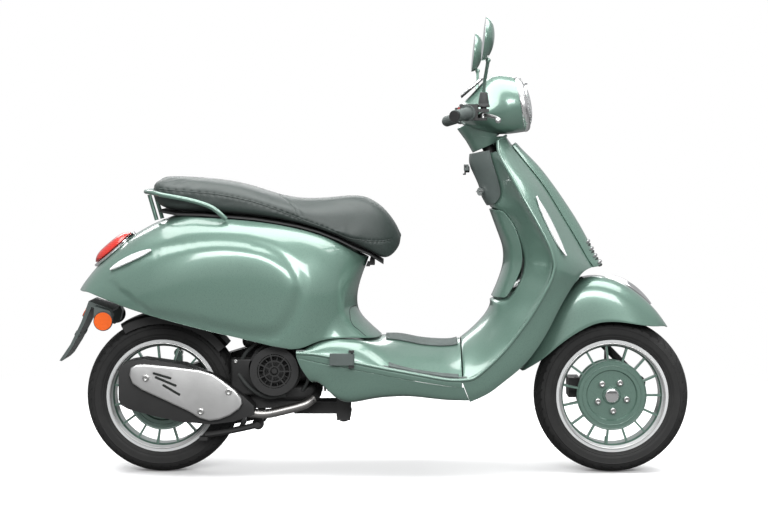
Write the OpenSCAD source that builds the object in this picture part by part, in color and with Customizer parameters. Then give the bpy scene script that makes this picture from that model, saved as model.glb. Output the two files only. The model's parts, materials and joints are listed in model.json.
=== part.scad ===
// Classic step-through scooter with a pressed body, single-sided front link and swinging engine unit.
// Millimetres. +X forward, +Y to the rider's left, +Z up, origin on the ground at mid length.

/* [Wheels] */
// Distance between the axles
wheelbase = 1334; // [1300:1:1370]
// Outer radius of both tyres
tyre_r = 229.4; // [220:0.1:232]
// Tyre section width
tyre_w = 110; // [100:1:114]
// Outer radius of the rim flange
rim_r = 166; // [160:1:170]
// Number of thin spokes in each rim
spokes = 15; // [9:1:18]
// Pitch circle of the wheel bolts
bolt_pcd = 90; // [80:1:100]
// Radius of the wheel axles
axle_r = 10; // [8:0.5:12]
// Outer radius of the front brake disc
disc_r = 100; // [85:1:108]

/* [Steering] */
// Rake of the steering axis from vertical, degrees
rake = 24.5; // [23:0.5:26]
// Outer radius of the steering tube
stem_r = 18; // [15:0.5:20]
// Wall of the head tube around the bearings
head_wall = 6; // [4:0.5:8]
// Radius of the handlebar tube
bar_r = 11; // [10:0.5:12]
// Outer radius of the grips
grip_r = 17; // [15:0.5:19]
// Half width over the bar ends
bar_half = 365; // [350:1:370]

/* [Body] */
// Thickness of the painted shells
skin = 2.6; // [2:0.1:3.5]
// Half width of the footboard edge
board_half = 202; // [195:1:205]
// Height of the side bulges over the body
bulge_h = 12; // [8:1:15]
// Radius of the grab rail tube
rail_r = 7.5; // [6:0.5:9]
// Radius of the number plate screw holes
plate_r = 3; // [2.5:0.1:3.5]
// Wall of the plastic tubs
tub_wall = 3; // [2:0.5:4]

/* [Seat] */
// Half width of the seat at its widest
seat_half = 150; // [140:1:158]
// Depth of the seat pan
pan_t = 9; // [7:0.5:12]

/* [Engine] */
// Radius of the cooling fan cover
fan_r = 71; // [65:1:76]
// Outer radius of the exhaust pipe
pipe_r = 13; // [11:0.5:15]
// Radius of the swing pivot pin
pivot_r = 8; // [6:0.5:10]

/* [Fits] */
// Radial clearance of running fits
run = 0.05; // [0.03:0.01:0.1]
// Space left between faces of separate pieces
gap = 0.4; // [0.3:0.1:0.8]

/* [Hidden] */
$fn = 64;

front_x = 703;
rear_x = front_x - wheelbase;
stem_top = [337, 0, 968];
swing_at = [-93, 0, 174];
link_at = [800, 0, 250];
link_y = 92;

// ---- curves and sheets -------------------------------------------------------------

// Point t of the way from b to c on the smooth curve through a, b, c and d
function blend4(a, b, c, d, t) =
  0.5 * (2 * b + (c - a) * t + (2 * a - 5 * b + 4 * c - d) * t * t
    + (3 * b - a - 3 * c + d) * t * t * t);

// Smooth curve through a list of points at parameter s; ends are carried straight on
function along(p, s, closed = false) =
  let (n = len(p), i = closed ? floor(s) : max(0, min(n - 2, floor(s))), t = s - i)
  closed
    ? blend4(p[(i + n - 1) % n], p[(i + n) % n], p[(i + 1) % n], p[(i + 2) % n], t)
    : blend4(i > 0 ? p[i - 1] : 2 * p[0] - p[1], p[i], p[i + 1],
        i + 2 < n ? p[i + 2] : 2 * p[n - 1] - p[n - 2], t);

// Point of a net of rows at column u and row v
function on_net(net, u, v, closed = false) =
  let (n = len(net), i = max(0, min(n - 2, floor(v))), t = v - i,
    row = function (k) along(net[k], u, closed))
  blend4(i > 0 ? row(i - 1) : 2 * row(0) - row(1), row(i), row(i + 1),
    i + 2 < n ? row(i + 2) : 2 * row(n - 1) - row(n - 2), t);

function unit(v) = norm(v) < 1e-9 ? [0, 0, 0] : v / norm(v);

// Normal of a grid of points at row r, column c
function grid_normal(g, r, c, closed) =
  let (nr = len(g), nc = len(g[0]),
    c0 = closed ? (c + nc - 1) % nc : max(0, c - 1), c1 = closed ? (c + 1) % nc : min(nc - 1, c + 1),
    du = g[r][c1] - g[r][c0],
    dv = g[min(nr - 1, r + 1)][c] - g[max(0, r - 1)][c])
  unit(cross(du, dv));

// Grid moved along its normals by off(point)
function moved(g, off, closed = false) =
  [for (r = [0:len(g) - 1]) [for (c = [0:len(g[0]) - 1])
    g[r][c] + grid_normal(g, r, c, closed) * off(g[r][c], r, c)]];

// Closed thin solid between a grid and the grid shifted by t along its normals
module sheet(g, t, closed = false, keep = function (r, c) true) {
  nr = len(g);
  nc = len(g[0]);
  cells_c = closed ? nc : nc - 1;
  under = moved(g, function (p, r, c) -t, closed);
  points = concat([for (row = g) each row], [for (row = under) each row]);
  m = nr * nc;
  id = function (r, c) r * nc + (c % nc);
  kept = function (r, c) r >= 0 && r < nr - 1 && (closed || (c >= 0 && c < cells_c))
    && keep(r, (c + cells_c) % cells_c);
  faces = [for (r = [0:nr - 2]) for (c = [0:cells_c - 1]) if (kept(r, c))
    let (a = id(r, c), b = id(r, c + 1), d = id(r + 1, c), e = id(r + 1, c + 1))
    each concat(
      [[a, d, b], [b, d, e], [m + a, m + b, m + d], [m + b, m + e, m + d]],
      kept(r - 1, c) ? [] : [[a, b, m + a], [b, m + b, m + a]],
      kept(r + 1, c) ? [] : [[d, m + d, e], [e, m + d, m + e]],
      kept(r, c - 1) ? [] : [[a, m + a, d], [d, m + a, m + d]],
      kept(r, c + 1) ? [] : [[b, e, m + b], [e, m + e, m + b]])];
  polyhedron(points, faces, convexity = 8);
}

// Closed solid through rings of points, with flat ends
module loft(rings) {
  n = len(rings[0]);
  k = len(rings);
  points = [for (ring = rings) each ring];
  faces = concat(
    [for (r = [0:k - 2]) for (c = [0:n - 1])
      let (a = r * n + c, b = r * n + (c + 1) % n, d = a + n, e = b + n)
      each [[a, d, b], [b, d, e]]],
    [[for (c = [0:n - 1]) c]],
    [[for (c = [n - 1:-1:0]) (k - 1) * n + c]]);
  polyhedron(points, faces, convexity = 8);
}

// Row of points from the left edge to the middle, carried on to the right edge
function both(half) = concat(
  [for (i = [len(half) - 1:-1:0]) half[i]], [for (i = [1:len(half) - 1]) flip(half[i])]);

// Closed row: half a row from one middle point to the other, then back on the other side
function round_row(half) = concat(half, [for (i = [len(half) - 2:-1:1]) flip(half[i])]);

// Grid of nr + 1 rows and nc + 1 columns over part of a net
function patch(net, u0, u1, v0, v1, nc, nr, closed = false) =
  [for (r = [0:nr]) [for (c = [0:closed ? nc - 1 : nc])
    on_net(net, u0 + (u1 - u0) * c / nc, v0 + (v1 - v0) * r / nr, closed)]];

// Grid over a rounded patch: half widths du and dv around (u, v)
function oval_patch(net, u, v, du, dv, n, round = 0.5, slant = 0, closed = false) =
  [for (r = [0:n]) [for (c = [0:n])
    let (t = 2 * r / n - 1, s = 2 * c / n - 1,
      w = pow(max(0.02, 1 - t * t), round))
    on_net(net, u + du * s * w + slant * t, v + dv * t, closed)]];

// Leaf-shaped grid on a closed net, from its middle, half length and half width in net steps
function leaf_patch(net, at, half, wide, n) =
  [for (r = [0:n]) [for (c = [0:n])
    let (t = 2 * r / n - 1, s = 1 - 2 * c / n, w = sqrt(max(0.06, 1 - t * t)),
      p = at + half * t + wide * s * w)
    on_net(net, p.x, p.y, true)]];

// Straight round bar between two points
module bar(a, b, r) {
  v = b - a;
  translate(a)
    rotate([0, acos(v.z / norm(v)), atan2(v.y, v.x)])
      cylinder(h = norm(v), r = r);
}

// Round tube of n sides along a smooth curve through a list of points, with m rings a span
module rod(points, r, n = 10, m = 3) {
  k = len(points);
  path = [for (i = [0:(k - 1) * m]) along(points, i / m)];
  last = len(path) - 1;
  up = [0.31, 0.23, 0.92];
  loft([for (i = [0:last])
    let (t = unit(path[min(last, i + 1)] - path[max(0, i - 1)]), e = unit(cross(t, up)), f = cross(t, e))
    [for (a = [0:n - 1]) path[i] + r * (cos(a * 360 / n) * e + sin(a * 360 / n) * f)]]);
}

// Puts its children in the frame of the steering axis, with +Z up the axis
module steered() {
  translate(stem_top) rotate([0, -rake, 0]) children();
}

// Point of the steering frame in the scooter's frame
function from_stem(p) = stem_top + [
  p.x * cos(rake) - p.z * sin(rake), p.y, p.x * sin(rake) + p.z * cos(rake)];

function flip(p) = [p.x, -p.y, p.z];

// Children on both sides of the middle plane
module pair() {
  children();
  mirror([0, 1, 0]) children();
}

// Disc or tube about a line parallel to Y
module across(x, z, y0, y1, r) {
  translate([x, y0, z]) rotate([-90, 0, 0]) cylinder(h = y1 - y0, r = r);
}

// ---- body nets: rows of half sections, each from the middle plane to the left edge ----

// Leg shield, from the top lip down to the footboard; the fourth point of a row is the front lip
shield_net = [for (row = [
  [[391, 0, 1000], [387, 30, 997], [377, 50, 992], [370, 62, 989], [366, 70, 986], [362, 74, 984]],
  [[419, 0, 962], [414, 40, 959], [400, 66, 956], [386, 84, 954], [376, 94, 953], [364, 100, 952]],
  [[476, 0, 905], [457, 52, 905], [436, 90, 904], [415, 120, 904], [400, 136, 905], [384, 146, 907]],
  [[519, 0, 850], [499, 55, 851], [476, 108, 851], [452, 146, 851], [433, 166, 851], [413, 176, 851]],
  [[554, 0, 800], [530, 56, 801], [504, 112, 801], [477, 160, 801], [458, 182, 801], [441, 194, 800]],
  [[593, 0, 740], [566, 56, 741], [538, 112, 741], [508, 166, 741], [488, 194, 741], [473, 206, 741]],
  [[626, 0, 680], [602, 56, 681], [572, 112, 681], [539, 168, 681], [518, 202, 681], [503, 212, 680]],
  [[650, 0, 632], [628, 56, 633], [604, 112, 633], [571, 166, 632], [536, 205, 632], [516, 215, 631]],
  [[661, 0, 609], [640, 54, 609], [615, 108, 602], [590, 152, 588], [542, 205, 602], [513, 216, 606]],
  [[562, 0, 602], [562, 62, 600], [575, 118, 594], [578, 164, 572], [534, 203, 578], [505, 216, 582]],
  [[500, 0, 563], [505, 72, 563], [530, 134, 560], [560, 178, 547], [522, 202, 550], [489, 215, 551]],
  [[464, 0, 515], [470, 76, 516], [498, 146, 519], [542, 186, 518], [504, 203, 516], [469, 213, 515]],
  [[440, 0, 470], [446, 80, 471], [476, 152, 478], [522, 192, 482], [482, 205, 476], [442, 210, 471]],
  [[420, 0, 425], [426, 80, 427], [456, 154, 434], [500, 194, 438], [458, 205, 434], [412, 207, 430]],
  [[402, 0, 385], [407, 80, 386], [432, 154, 390], [470, 196, 390], [428, 205, 392], [384, 205, 394]],
  [[386, 0, 345], [390, 80, 346], [408, 154, 348], [438, 196, 348], [396, 204, 354], [352, 204, 359]],
  [[366, 0, 312], [368, 80, 313], [380, 154, 315], [404, 195, 316], [364, 203, 324], [322, 203, 331]],
  [[338, 0, 286], [340, 80, 287], [350, 154, 287], [366, 194, 286], [331, 202, 298], [297, 202, 310]],
  [[306, 0, 264], [308, 80, 264], [314, 154, 260], [328, 193, 256], [300, 201, 278], [274, 201, 299]],
  [[270, 0, 250], [270, 80, 250], [271, 154, 242], [275, 190, 232], [262, 200, 266], [252, 201, 294]]
]) both(row)];

// Shield behind the rider's legs, from the footboard up; its middle is pressed in for the glove box
inner_net = [for (row = [
  [[254, 0, 400], [254, 50, 391], [254, 85, 378], [254, 112, 363], [254, 150, 337], [254, 184, 310],
    [254, 200, 297]],
  [[289, 0, 427], [290, 50, 420], [293, 85, 404], [295, 112, 388], [296, 150, 360], [297, 184, 332],
    [297, 200, 313]],
  [[318, 0, 458], [320, 50, 450], [325, 85, 436], [332, 112, 420], [338, 150, 398], [343, 186, 374],
    [345, 202, 358]],
  [[334, 0, 478], [337, 50, 474], [345, 85, 464], [356, 112, 452], [368, 150, 434], [378, 186, 412],
    [382, 203, 399]],
  [[344, 0, 500], [348, 50, 498], [358, 85, 492], [376, 112, 484], [394, 150, 472], [410, 186, 456],
    [416, 205, 446]],
  [[350, 0, 520], [354, 50, 519], [368, 85, 517], [392, 110, 515], [420, 150, 511], [446, 186, 503],
    [455, 208, 498]],
  [[440, 0, 560], [440, 50, 560], [438, 84, 558], [406, 110, 552], [438, 150, 548], [470, 190, 546],
    [481, 211, 544]],
  [[446, 0, 600], [446, 50, 600], [444, 86, 598], [428, 113, 594], [455, 150, 590], [490, 190, 587],
    [500, 213, 584]],
  [[437, 0, 637], [437, 50, 637], [437, 88, 636], [438, 115, 634], [464, 152, 630], [499, 192, 627],
    [510, 213, 626]],
  [[424, 0, 667], [424, 50, 667], [426, 88, 667], [434, 115, 666], [462, 152, 664], [497, 191, 662],
    [507, 211, 660]],
  [[408, 0, 703], [408, 50, 703], [412, 88, 703], [424, 112, 702], [450, 150, 701], [481, 188, 699],
    [490, 208, 697]],
  [[390, 0, 744], [390, 50, 744], [396, 84, 744], [408, 106, 743], [432, 145, 742], [460, 184, 741],
    [468, 203, 740]],
  [[342, 0, 788], [347, 50, 788], [360, 78, 788], [378, 98, 787], [404, 134, 786], [434, 174, 785],
    [443, 194, 785]],
  [[320, 0, 832], [326, 38, 832], [345, 60, 832], [370, 82, 832], [390, 116, 832], [409, 158, 832],
    [417, 180, 832]],
  [[303, 0, 876], [309, 38, 876], [330, 60, 876], [352, 76, 876], [370, 102, 876], [386, 138, 876],
    [393, 160, 876]],
  [[291, 0, 915], [298, 36, 915], [316, 54, 915], [338, 66, 916], [352, 86, 917], [364, 116, 918],
    [371, 131, 918]],
  [[288, 0, 945], [294, 34, 945], [308, 50, 946], [328, 60, 948], [341, 72, 950], [352, 88, 953],
    [357, 96, 955]]
]) both(row)];

// Glove box door, from its hinge up
door_net = [for (row = [
  [[348, 0, 523], [352, 50, 523], [365, 84, 524], [384, 105, 525]],
  [[358, 0, 545], [362, 50, 545], [374, 86, 546], [398, 109, 547]],
  [[372, 0, 580], [376, 50, 580], [388, 88, 580], [416, 112, 581]],
  [[384, 0, 622], [388, 50, 622], [400, 90, 622], [431, 115, 622]],
  [[383, 0, 667], [387, 50, 667], [399, 90, 667], [430, 115, 666]],
  [[370, 0, 706], [374, 50, 706], [387, 88, 706], [420, 112, 705]],
  [[355, 0, 746], [359, 50, 746], [372, 84, 745], [405, 106, 743]],
  [[341, 0, 785], [345, 48, 785], [356, 76, 784], [374, 96, 782]]
]) both(row)];

// Column cover, from its foot up
cover_net = [for (row = [
  [[333, 0, 793], [336, 40, 794], [343, 60, 796], [348, 72, 799], [355, 80, 802]],
  [[317, 0, 820], [321, 42, 820], [335, 66, 821], [352, 82, 822], [369, 92, 825]],
  [[310, 0, 850], [315, 42, 850], [332, 67, 851], [352, 84, 852], [365, 94, 854]],
  [[295, 0, 884], [300, 41, 884], [318, 65, 885], [341, 82, 887], [355, 92, 890]],
  [[280, 0, 918], [286, 40, 919], [304, 61, 920], [326, 75, 923], [344, 84, 927]],
  [[281, 0, 946], [287, 38, 948], [302, 57, 950], [320, 68, 954], [337, 76, 957]]
]) both(row)];

// Footboard, from the rear to the foot of the leg shield
board_net = [for (row = [
  [[-225, 0, 366], [-225, 60, 366], [-225, 120, 366], [-225, 162, 368], [-225, 186, 370],
    [-225, board_half - 4, 374], [-225, board_half - 4, 361]],
  [[-165, 0, 395], [-165, 60, 395], [-165, 120, 398], [-165, 164, 404], [-165, 189, 392],
    [-165, board_half - 1, 370], [-165, board_half - 1, 348]],
  [[-100, 0, 402], [-100, 60, 402], [-100, 120, 406], [-100, 162, 412], [-100, 188, 392],
    [-100, board_half, 357], [-100, board_half, 335.5]],
  [[-35, 0, 402], [-35, 60, 402], [-35, 118, 404], [-35, 152, 405], [-35, 184, 380],
    [-35, board_half, 343], [-35, board_half, 322.6]],
  [[25, 0, 407], [25, 60, 400], [25, 110, 392], [25, 150, 376], [25, 182, 352],
    [25, board_half + 1, 331], [25, board_half + 1, 311.5]],
  [[75, 0, 408], [75, 60, 396], [75, 112, 374], [75, 152, 352], [75, 184, 334],
    [75, board_half + 2, 322], [75, board_half + 2, 302]],
  [[130, 0, 397], [130, 60, 384], [130, 112, 362], [130, 152, 341], [130, 184, 322],
    [130, board_half + 2, 312], [130, board_half + 2, 292.5]],
  [[185, 0, 392], [185, 60, 379], [185, 112, 356], [185, 152, 335], [185, 184, 315],
    [185, board_half + 2, 302], [185, board_half + 2, 283.2]],
  [[225, 0, 392], [225, 60, 380], [225, 112, 356], [225, 152, 333], [225, 184, 312],
    [225, board_half + 1, 297], [225, board_half + 1, 278]],
  [[252, 0, 399], [252, 60, 387], [252, 112, 362], [252, 152, 336], [252, 184, 310],
    [252, board_half - 1, 296], [252, board_half - 1, 275]]
]) both(row)];

// Side skirt under the left edge of the footboard, from its seam down and under
skirt_net = [
  [[-224, 199, 360], [-180, 200, 350], [-100, 201, 334], [0, 201, 315], [90, 202, 298], [160, 202, 286],
    [215, 201, 278], [257, 200, 275]],
  [[-212, 196, 330], [-176, 198, 318], [-100, 198, 300], [0, 198, 290], [90, 198, 276], [160, 198, 264],
    [215, 197, 256], [266, 196, 252]],
  [[-186, 189, 292], [-160, 190, 288], [-98, 191, 240], [0, 190, 250], [90, 190, 252], [160, 190, 244],
    [215, 190, 238], [273, 188, 235]],
  [[-176, 168, 286], [-150, 168, 282], [-92, 168, 226], [0, 168, 240], [90, 168, 246], [160, 168, 240],
    [215, 168, 235], [271, 168, 239]]
];

// Rear body, a closed ring of columns from the tail round the left side to the front pillar
rear_net = [for (row = [
  [[-600, 0, 764], [-595, 60, 764], [-575, 104, 764], [-530, 126, 763], [-450, 132, 758],
    [-360, 132, 751], [-270, 130, 738], [-190, 124, 719], [-130, 114, 697], [-82, 98, 671],
    [-48, 74, 651], [-26, 40, 642], [-18, 0, 640]],
  [[-665, 0, 738], [-655, 62, 736], [-622, 116, 734], [-562, 148, 733], [-470, 162, 729],
    [-372, 166, 725], [-275, 163, 711], [-186, 152, 691], [-122, 134, 666], [-80, 115, 640],
    [-56, 90, 617], [-36, 48, 612], [-29, 0, 611]],
  [[-740, 0, 693], [-728, 62, 690], [-690, 118, 687], [-620, 154, 684], [-520, 175, 678],
    [-400, 184, 671], [-285, 184, 657], [-186, 174, 638], [-118, 152, 614], [-86, 128, 590],
    [-68, 102, 574], [-50, 54, 571], [-43, 0, 572]],
  [[-815, 0, 630], [-800, 60, 628], [-762, 110, 626], [-690, 152, 622], [-580, 180, 606],
    [-440, 189, 598], [-300, 191, 588], [-195, 185, 569], [-119, 163, 550], [-93, 136, 534],
    [-79, 108, 527], [-60, 58, 524], [-53, 0, 523]],
  [[-867, 0, 568], [-852, 54, 568], [-820, 98, 568], [-755, 142, 562], [-640, 176, 542],
    [-480, 187, 524], [-325, 190, 508], [-210, 186, 480], [-134, 168, 476], [-96, 144, 474],
    [-76, 114, 472], [-52, 60, 470], [-44, 0, 470]],
  [[-885, 0, 541], [-868, 50, 539], [-846, 92, 541], [-796, 131, 526], [-690, 166, 493],
    [-520, 181, 447], [-350, 185, 408], [-233, 187, 382], [-160, 176, 407], [-94, 164, 414],
    [-24, 124, 410], [10, 62, 406], [20, 0, 410]]
]) round_row(row)];

function eased(t) = t <= 0 ? 0 : t >= 1 ? 1 : t * t * (3 - 2 * t);

// Height of the side bulge at a point of the rear body
function bulge(p) =
  let (dx = p.x + 420, dz = p.z - 500, far = norm([dx / (dx > 0 ? 300 : 410), dz / 252]))
  abs(p.y) < 100 ? 0 : bulge_h * eased((1 - far) / 0.3);

// Front mudguard, from its rear edge forward
fender_net = [for (row = [
  [[430, 0, 308], [431, 34, 307], [434, 58, 307], [442, 70, 312]],
  [[460, 0, 362], [462, 40, 360], [468, 66, 354], [482, 80, 335]],
  [[490, 0, 420], [492, 42, 418], [500, 72, 409], [510, 86, 357]],
  [[522, 0, 482], [525, 44, 479], [534, 77, 464], [543, 91, 386]],
  [[560, 0, 535], [562, 45, 532], [568, 80, 512], [578, 94, 412]],
  [[600, 0, 569], [600, 46, 566], [602, 82, 541], [615, 95, 434]],
  [[640, 0, 583], [640, 46, 580], [640, 83, 550], [650, 95, 449]],
  [[685, 0, 580], [684, 46, 577], [681, 82, 545], [686, 95, 454]],
  [[730, 0, 565], [728, 45, 562], [725, 80, 531], [722, 94, 453]],
  [[775, 0, 538], [773, 42, 535], [768, 75, 508], [762, 91, 447]],
  [[819, 0, 500], [817, 38, 498], [811, 67, 478], [800, 83, 441]],
  [[850, 0, 464], [848, 32, 463], [842, 55, 453], [835, 68, 438]],
  [[872, 0, 432], [871, 16, 432], [867, 28, 433], [860, 36, 436]]
]) both(row)];

// Headset, a closed ring of columns, from the headlamp back to the dash; [x at top, x at foot, points]
headset_net = [for (s = [
  [409.5, 445, [[0, 1179], [32, 1172.5], [60, 1154.5], [78, 1127.5], [84.5, 1095], [78, 1063],
    [60, 1035.5], [32, 1018], [0, 1012]]],
  [388, 424, [[0, 1183], [34, 1176], [64, 1157], [83, 1128], [90, 1094], [83, 1060], [63, 1030],
    [34, 1014], [0, 1009]]],
  [355, 398, [[0, 1183], [36, 1177], [68, 1156], [87, 1125], [95, 1088], [88, 1052], [67, 1023],
    [36, 1010], [0, 1006]]],
  [322, 360, [[0, 1167], [36, 1160], [68, 1138], [98, 1106], [121, 1070], [98, 1036], [66, 1016],
    [34, 1007], [0, 1005]]],
  [291, 322, [[0, 1138], [36, 1132], [68, 1116], [106, 1094], [139, 1064], [106, 1034], [66, 1017],
    [34, 1010], [0, 1008]]],
  [262, 285, [[0, 1109], [36, 1105], [68, 1096], [106, 1084], [138, 1062], [106, 1040], [66, 1028],
    [34, 1023], [0, 1022]]],
  [243, 254, [[0, 1089], [34, 1087], [64, 1082], [94, 1075], [118, 1062], [94, 1050], [62, 1044],
    [32, 1042], [0, 1041]]]
])
  round_row([for (p = s[2])
    let (t = (1190 - p[1]) / 180) [s[0] + (s[1] - s[0]) * max(0, min(1, t)), p[0], p[1]]])];

// Seat sections, from the tail forward: [x, top, widest height, foot, half width]
seat_rows = [
  [-666, 853, 845, 836, 0.36], [-656, 871, 848, 812, 0.62], [-632, 879, 846, 784, 0.82],
  [-580, 879, 842, 775, 0.94], [-500, 874, 835, 773, 0.99], [-420, 865, 823, 767, 1],
  [-350, 846, 809, 761, 0.99], [-285, 823, 794, 751, 0.975], [-225, 813, 772, 740, 0.955],
  [-165, 813, 745, 723, 0.92], [-105, 820, 724, 699, 0.865], [-60, 824, 712, 676, 0.80],
  [-15, 818, 702, 656, 0.72], [25, 792, 694, 630, 0.62], [50, 763, 690, 640, 0.49],
  [70, 733, 690, 662, 0.31], [79, 707, 692, 680, 0.15]
];

// Closed section of the cushion at a row of seat_rows, from the top round the right side
function seat_ring(s) =
  let (w = s[4] * seat_half, top = s[1], mid = s[2], foot = s[3],
    half = [[0, top], [0.35 * w, top - 0.03 * (top - mid)], [0.68 * w, top - 0.16 * (top - mid)],
      [0.92 * w, top - 0.5 * (top - mid)], [w, mid], [0.97 * w, mid - 0.5 * (mid - foot)],
      [0.88 * w, foot + 1], [0.45 * w, foot], [0, foot]])
  concat([for (p = half) [s[0], -p[0], p[1]]],
    [for (i = [len(half) - 2:-1:1]) [s[0], half[i][0], half[i][1]]]);

// Closed section of the seat pan under a row of seat_rows
function pan_ring(s) =
  let (w = s[4] * seat_half - 16, z1 = s[3] - gap, z0 = z1 - pan_t)
  [[s[0], -w * 0.8, z1], [s[0], -w, z1 - 2], [s[0], -w, z0 + 2], [s[0], -w * 0.9, z0],
    [s[0], w * 0.9, z0], [s[0], w, z0 + 2], [s[0], w, z1 - 2], [s[0], w * 0.8, z1]];

// ---- body shells -------------------------------------------------------------------

module rear_body() {
  color("darkseagreen")
    sheet(moved(patch(rear_net, 0, 24, 0, 5, 56, 12, true), function (p, r, c) bulge(p), true),
      skin, true);
}

module floor_board() {
  color("darkseagreen")
    sheet(patch(board_net, 0, 12, 0, 9, 20, 14), skin,
      keep = function (r, c) !(r <= 2 && c >= 5 && c <= 14));
}

module leg_shield() {
  color("darkseagreen")
    sheet(patch(shield_net, 0, 10, 0, 19, 20, 34), skin,
      keep = function (r, c) !(r >= 15 && r <= 18 && c >= 8 && c <= 11));
}

module inner_shield() {
  color("darkseagreen") sheet(patch(inner_net, 0, 12, 0.03, 16, 18, 24), skin);
}

module column_cover() {
  color("darkslategray") {
    sheet(patch(cover_net, 0, 8, 0, 5, 14, 10), 2.2);
    for (side = [-1, 1]) translate([266, side * 18 - 2.5, 897]) difference() {
      cube([12.6, 5, 18]);
      translate([3, -1, 11]) rotate([-90, 0, 0]) cylinder(h = 7, r = 3 + run);
    }
  }
}

module bag_hook() {
  color("black") {
    translate([269, -15, 908]) rotate([-90, 0, 0]) translate([0, 0, -5.2]) cylinder(h = 40.4, r = 3);
    translate([267, -12, 884]) cube([4, 24, 22]);
    translate([263, -12, 884]) cube([5, 24, 4]);
  }
}

// Raised cover down the middle of the leg shield, with the horn behind its foot
module horn_cover() {
  color("darkseagreen")
    sheet(moved(patch(shield_net, 4.02, 5.98, 0.75, 7.9, 10, 18),
      function (p, r, c) 3.2 + 11 * pow(1 - pow(abs(c - 5) / 5, 2), 0.7)), 2.2);
}

module horn() {
  color("dimgray") steered() {
    translate([92, 0, -395]) rotate([0, 90, 0]) cylinder(h = 22, r = 36);
    translate([78, 0, -395]) rotate([0, 90, 0]) cylinder(h = 17, r = 14);
    translate([stem_r + 2.4 + head_wall, -8, -399]) cube([78 - stem_r - head_wall, 16, 8]);
  }
}

module side_skirts() {
  color("darkseagreen") pair() sheet(patch(skirt_net, 0, 7, 0, 3, 16, 6), skin);
}

module floor_mats() {
  lane = 1.65;
  color("dimgray") {
    sheet(moved(patch(board_net, 4.95, 7.05, 4.15, 8.7, 6, 10), function (p, r, c) 3.7), 2.8);
    pair() sheet(moved(patch(board_net, lane - 0.3, lane + 0.3, 4.3, 8.6, 2, 10),
      function (p, r, c) 3.7), 2.8);
  }
}

module indicators() {
  color("lightgray") pair() {
    sheet(moved(oval_patch(shield_net, 1.78, 5.1, 0.42, 1.5, 6, 0.5, -0.12),
      function (p, r, c) 8.5 - 2.4 * pow(abs(c - 3) / 3, 2)), 5.5);
    sheet(moved(leaf_patch(rear_net, [2.56, 2.81], [0.39, -0.49], [0.13, 0.15], 6),
      function (p, r, c) bulge(p) + 8.5 - 2.4 * pow(abs(r - 3) / 3, 2)), 5.5);
  }
}

module tail_lamp() {
  color("silver") sheet(moved(oval_patch(rear_net, 24, 2.52, 0.98, 0.8, 10, 0.35, 0, true),
    function (p, r, c) 8), 7);
}

module tail_lens() {
  color("red") sheet(moved(oval_patch(rear_net, 24, 2.52, 0.86, 0.7, 10, 0.35, 0, true),
    function (p, r, c) 12 + 14 * (1 - pow(abs(c - 5) / 5, 3)) * (1 - pow(abs(r - 5) / 5, 5))), 3.4);
}

module seat_cushion() {
  color("darkslategray") loft([for (s = seat_rows) seat_ring(s)]);
}

module seat_pan() {
  color("black") {
    loft([for (i = [2:13]) pan_ring(seat_rows[i])]);
    translate([-14, -24, 624]) difference() {
      union() {
        cube([12, 48, 21.4]);
        translate([6, 0, 2]) rotate([-90, 0, 0]) cylinder(h = 48, r = 6);
      }
      translate([6, -1, 2]) rotate([-90, 0, 0]) cylinder(h = 50, r = 3 + run);
    }
  }
}

module glove_door() {
  color("darkseagreen")
    sheet(moved(patch(door_net, 0, 6, 0.02, 6.93, 12, 10), function (p, r, c) 1.3), skin);
}

module ignition_lock() {
  color("silver") translate([316, -46, 835]) rotate([0, -90, 38]) {
    translate([0, 0, 2.4]) cylinder(h = 6, r = 12);
    translate([-1.5, -7, 8]) cube([3, 14, 8]);
  }
}

module front_fender() {
  color("darkseagreen")
    sheet(patch(fender_net, 0, 6, 0, 12, 16, 24), skin,
      keep = function (r, c) !(r >= 6 && r <= 10 && c >= 6 && c <= 9));
}

// ---- frame, tank and tail ----------------------------------------------------------

module frame() {
  color("dimgray") {
    steered() difference() {
      translate([0, 0, -425]) cylinder(h = 395, r = stem_r + 2 + head_wall);
      translate([0, 0, -426]) cylinder(h = 397, r = stem_r + 2);
    }
    rod([[474, 0, 590], [440, 0, 520], [392, 0, 460], [358, 0, 400], [318, 0, 340], [250, 0, 308],
      [60, 0, 306], [-70, 0, 306]], 15, 8, 2);
    pair() {
      rod([[-70, -1, 306], [-110, 80, 330], [-150, 130, 420], [-250, 146, 520], [-420, 148, 610],
        [-640, 118, 640]], 11, 8, 2);
      translate([-113, 52, 158]) cube([40, 6, 160]);
      bar([-93, 50, 306], [-93, 76, 306], 10);
    }
    across(swing_at.x, swing_at.z, -58, 58, pivot_r);
    pair() {
      translate([-74, 204, 333]) cube([16, 16, 6]);
      translate([-74, 204, 377]) cube([16, 16, 6]);
      translate([-64, 212, 334]) cylinder(h = 46, r = 3);
    }
    translate([0, 32, 0]) rotate([90, 0, 0]) linear_extrude(64)
      polygon([[-27.4, 612], [-22.8, 624], [-15.5, 624], [-15.5, 612]]);
    pair() translate([-16, 24.6, 616]) cube([15, 7.4, 17]);
    across(-8, 626, -32, 32, 3);
  }
}

module helmet_tub() {
  color("black") difference() {
    translate([-474, -112, 556]) cube([214, 224, 172]);
    translate([-474 + tub_wall, -112 + tub_wall, 556 + tub_wall])
      cube([214 - 2 * tub_wall, 224 - 2 * tub_wall, 200]);
  }
}

module fuel_tank() {
  color("black") {
    translate([-238, -88, 478]) cube([150, 176, 150]);
    translate([-165, 0, 627]) cylinder(h = 24, r = 26);
  }
}

module fuel_cap() {
  color("dimgray") translate([-165, 0, 651.4]) {
    cylinder(h = 14, r = 30);
    translate([-26, -4, 13]) cube([52, 8, 9]);
  }
}

module battery() {
  color("black") translate([70, -66, 324]) cube([110, 132, 44]);
}

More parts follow.
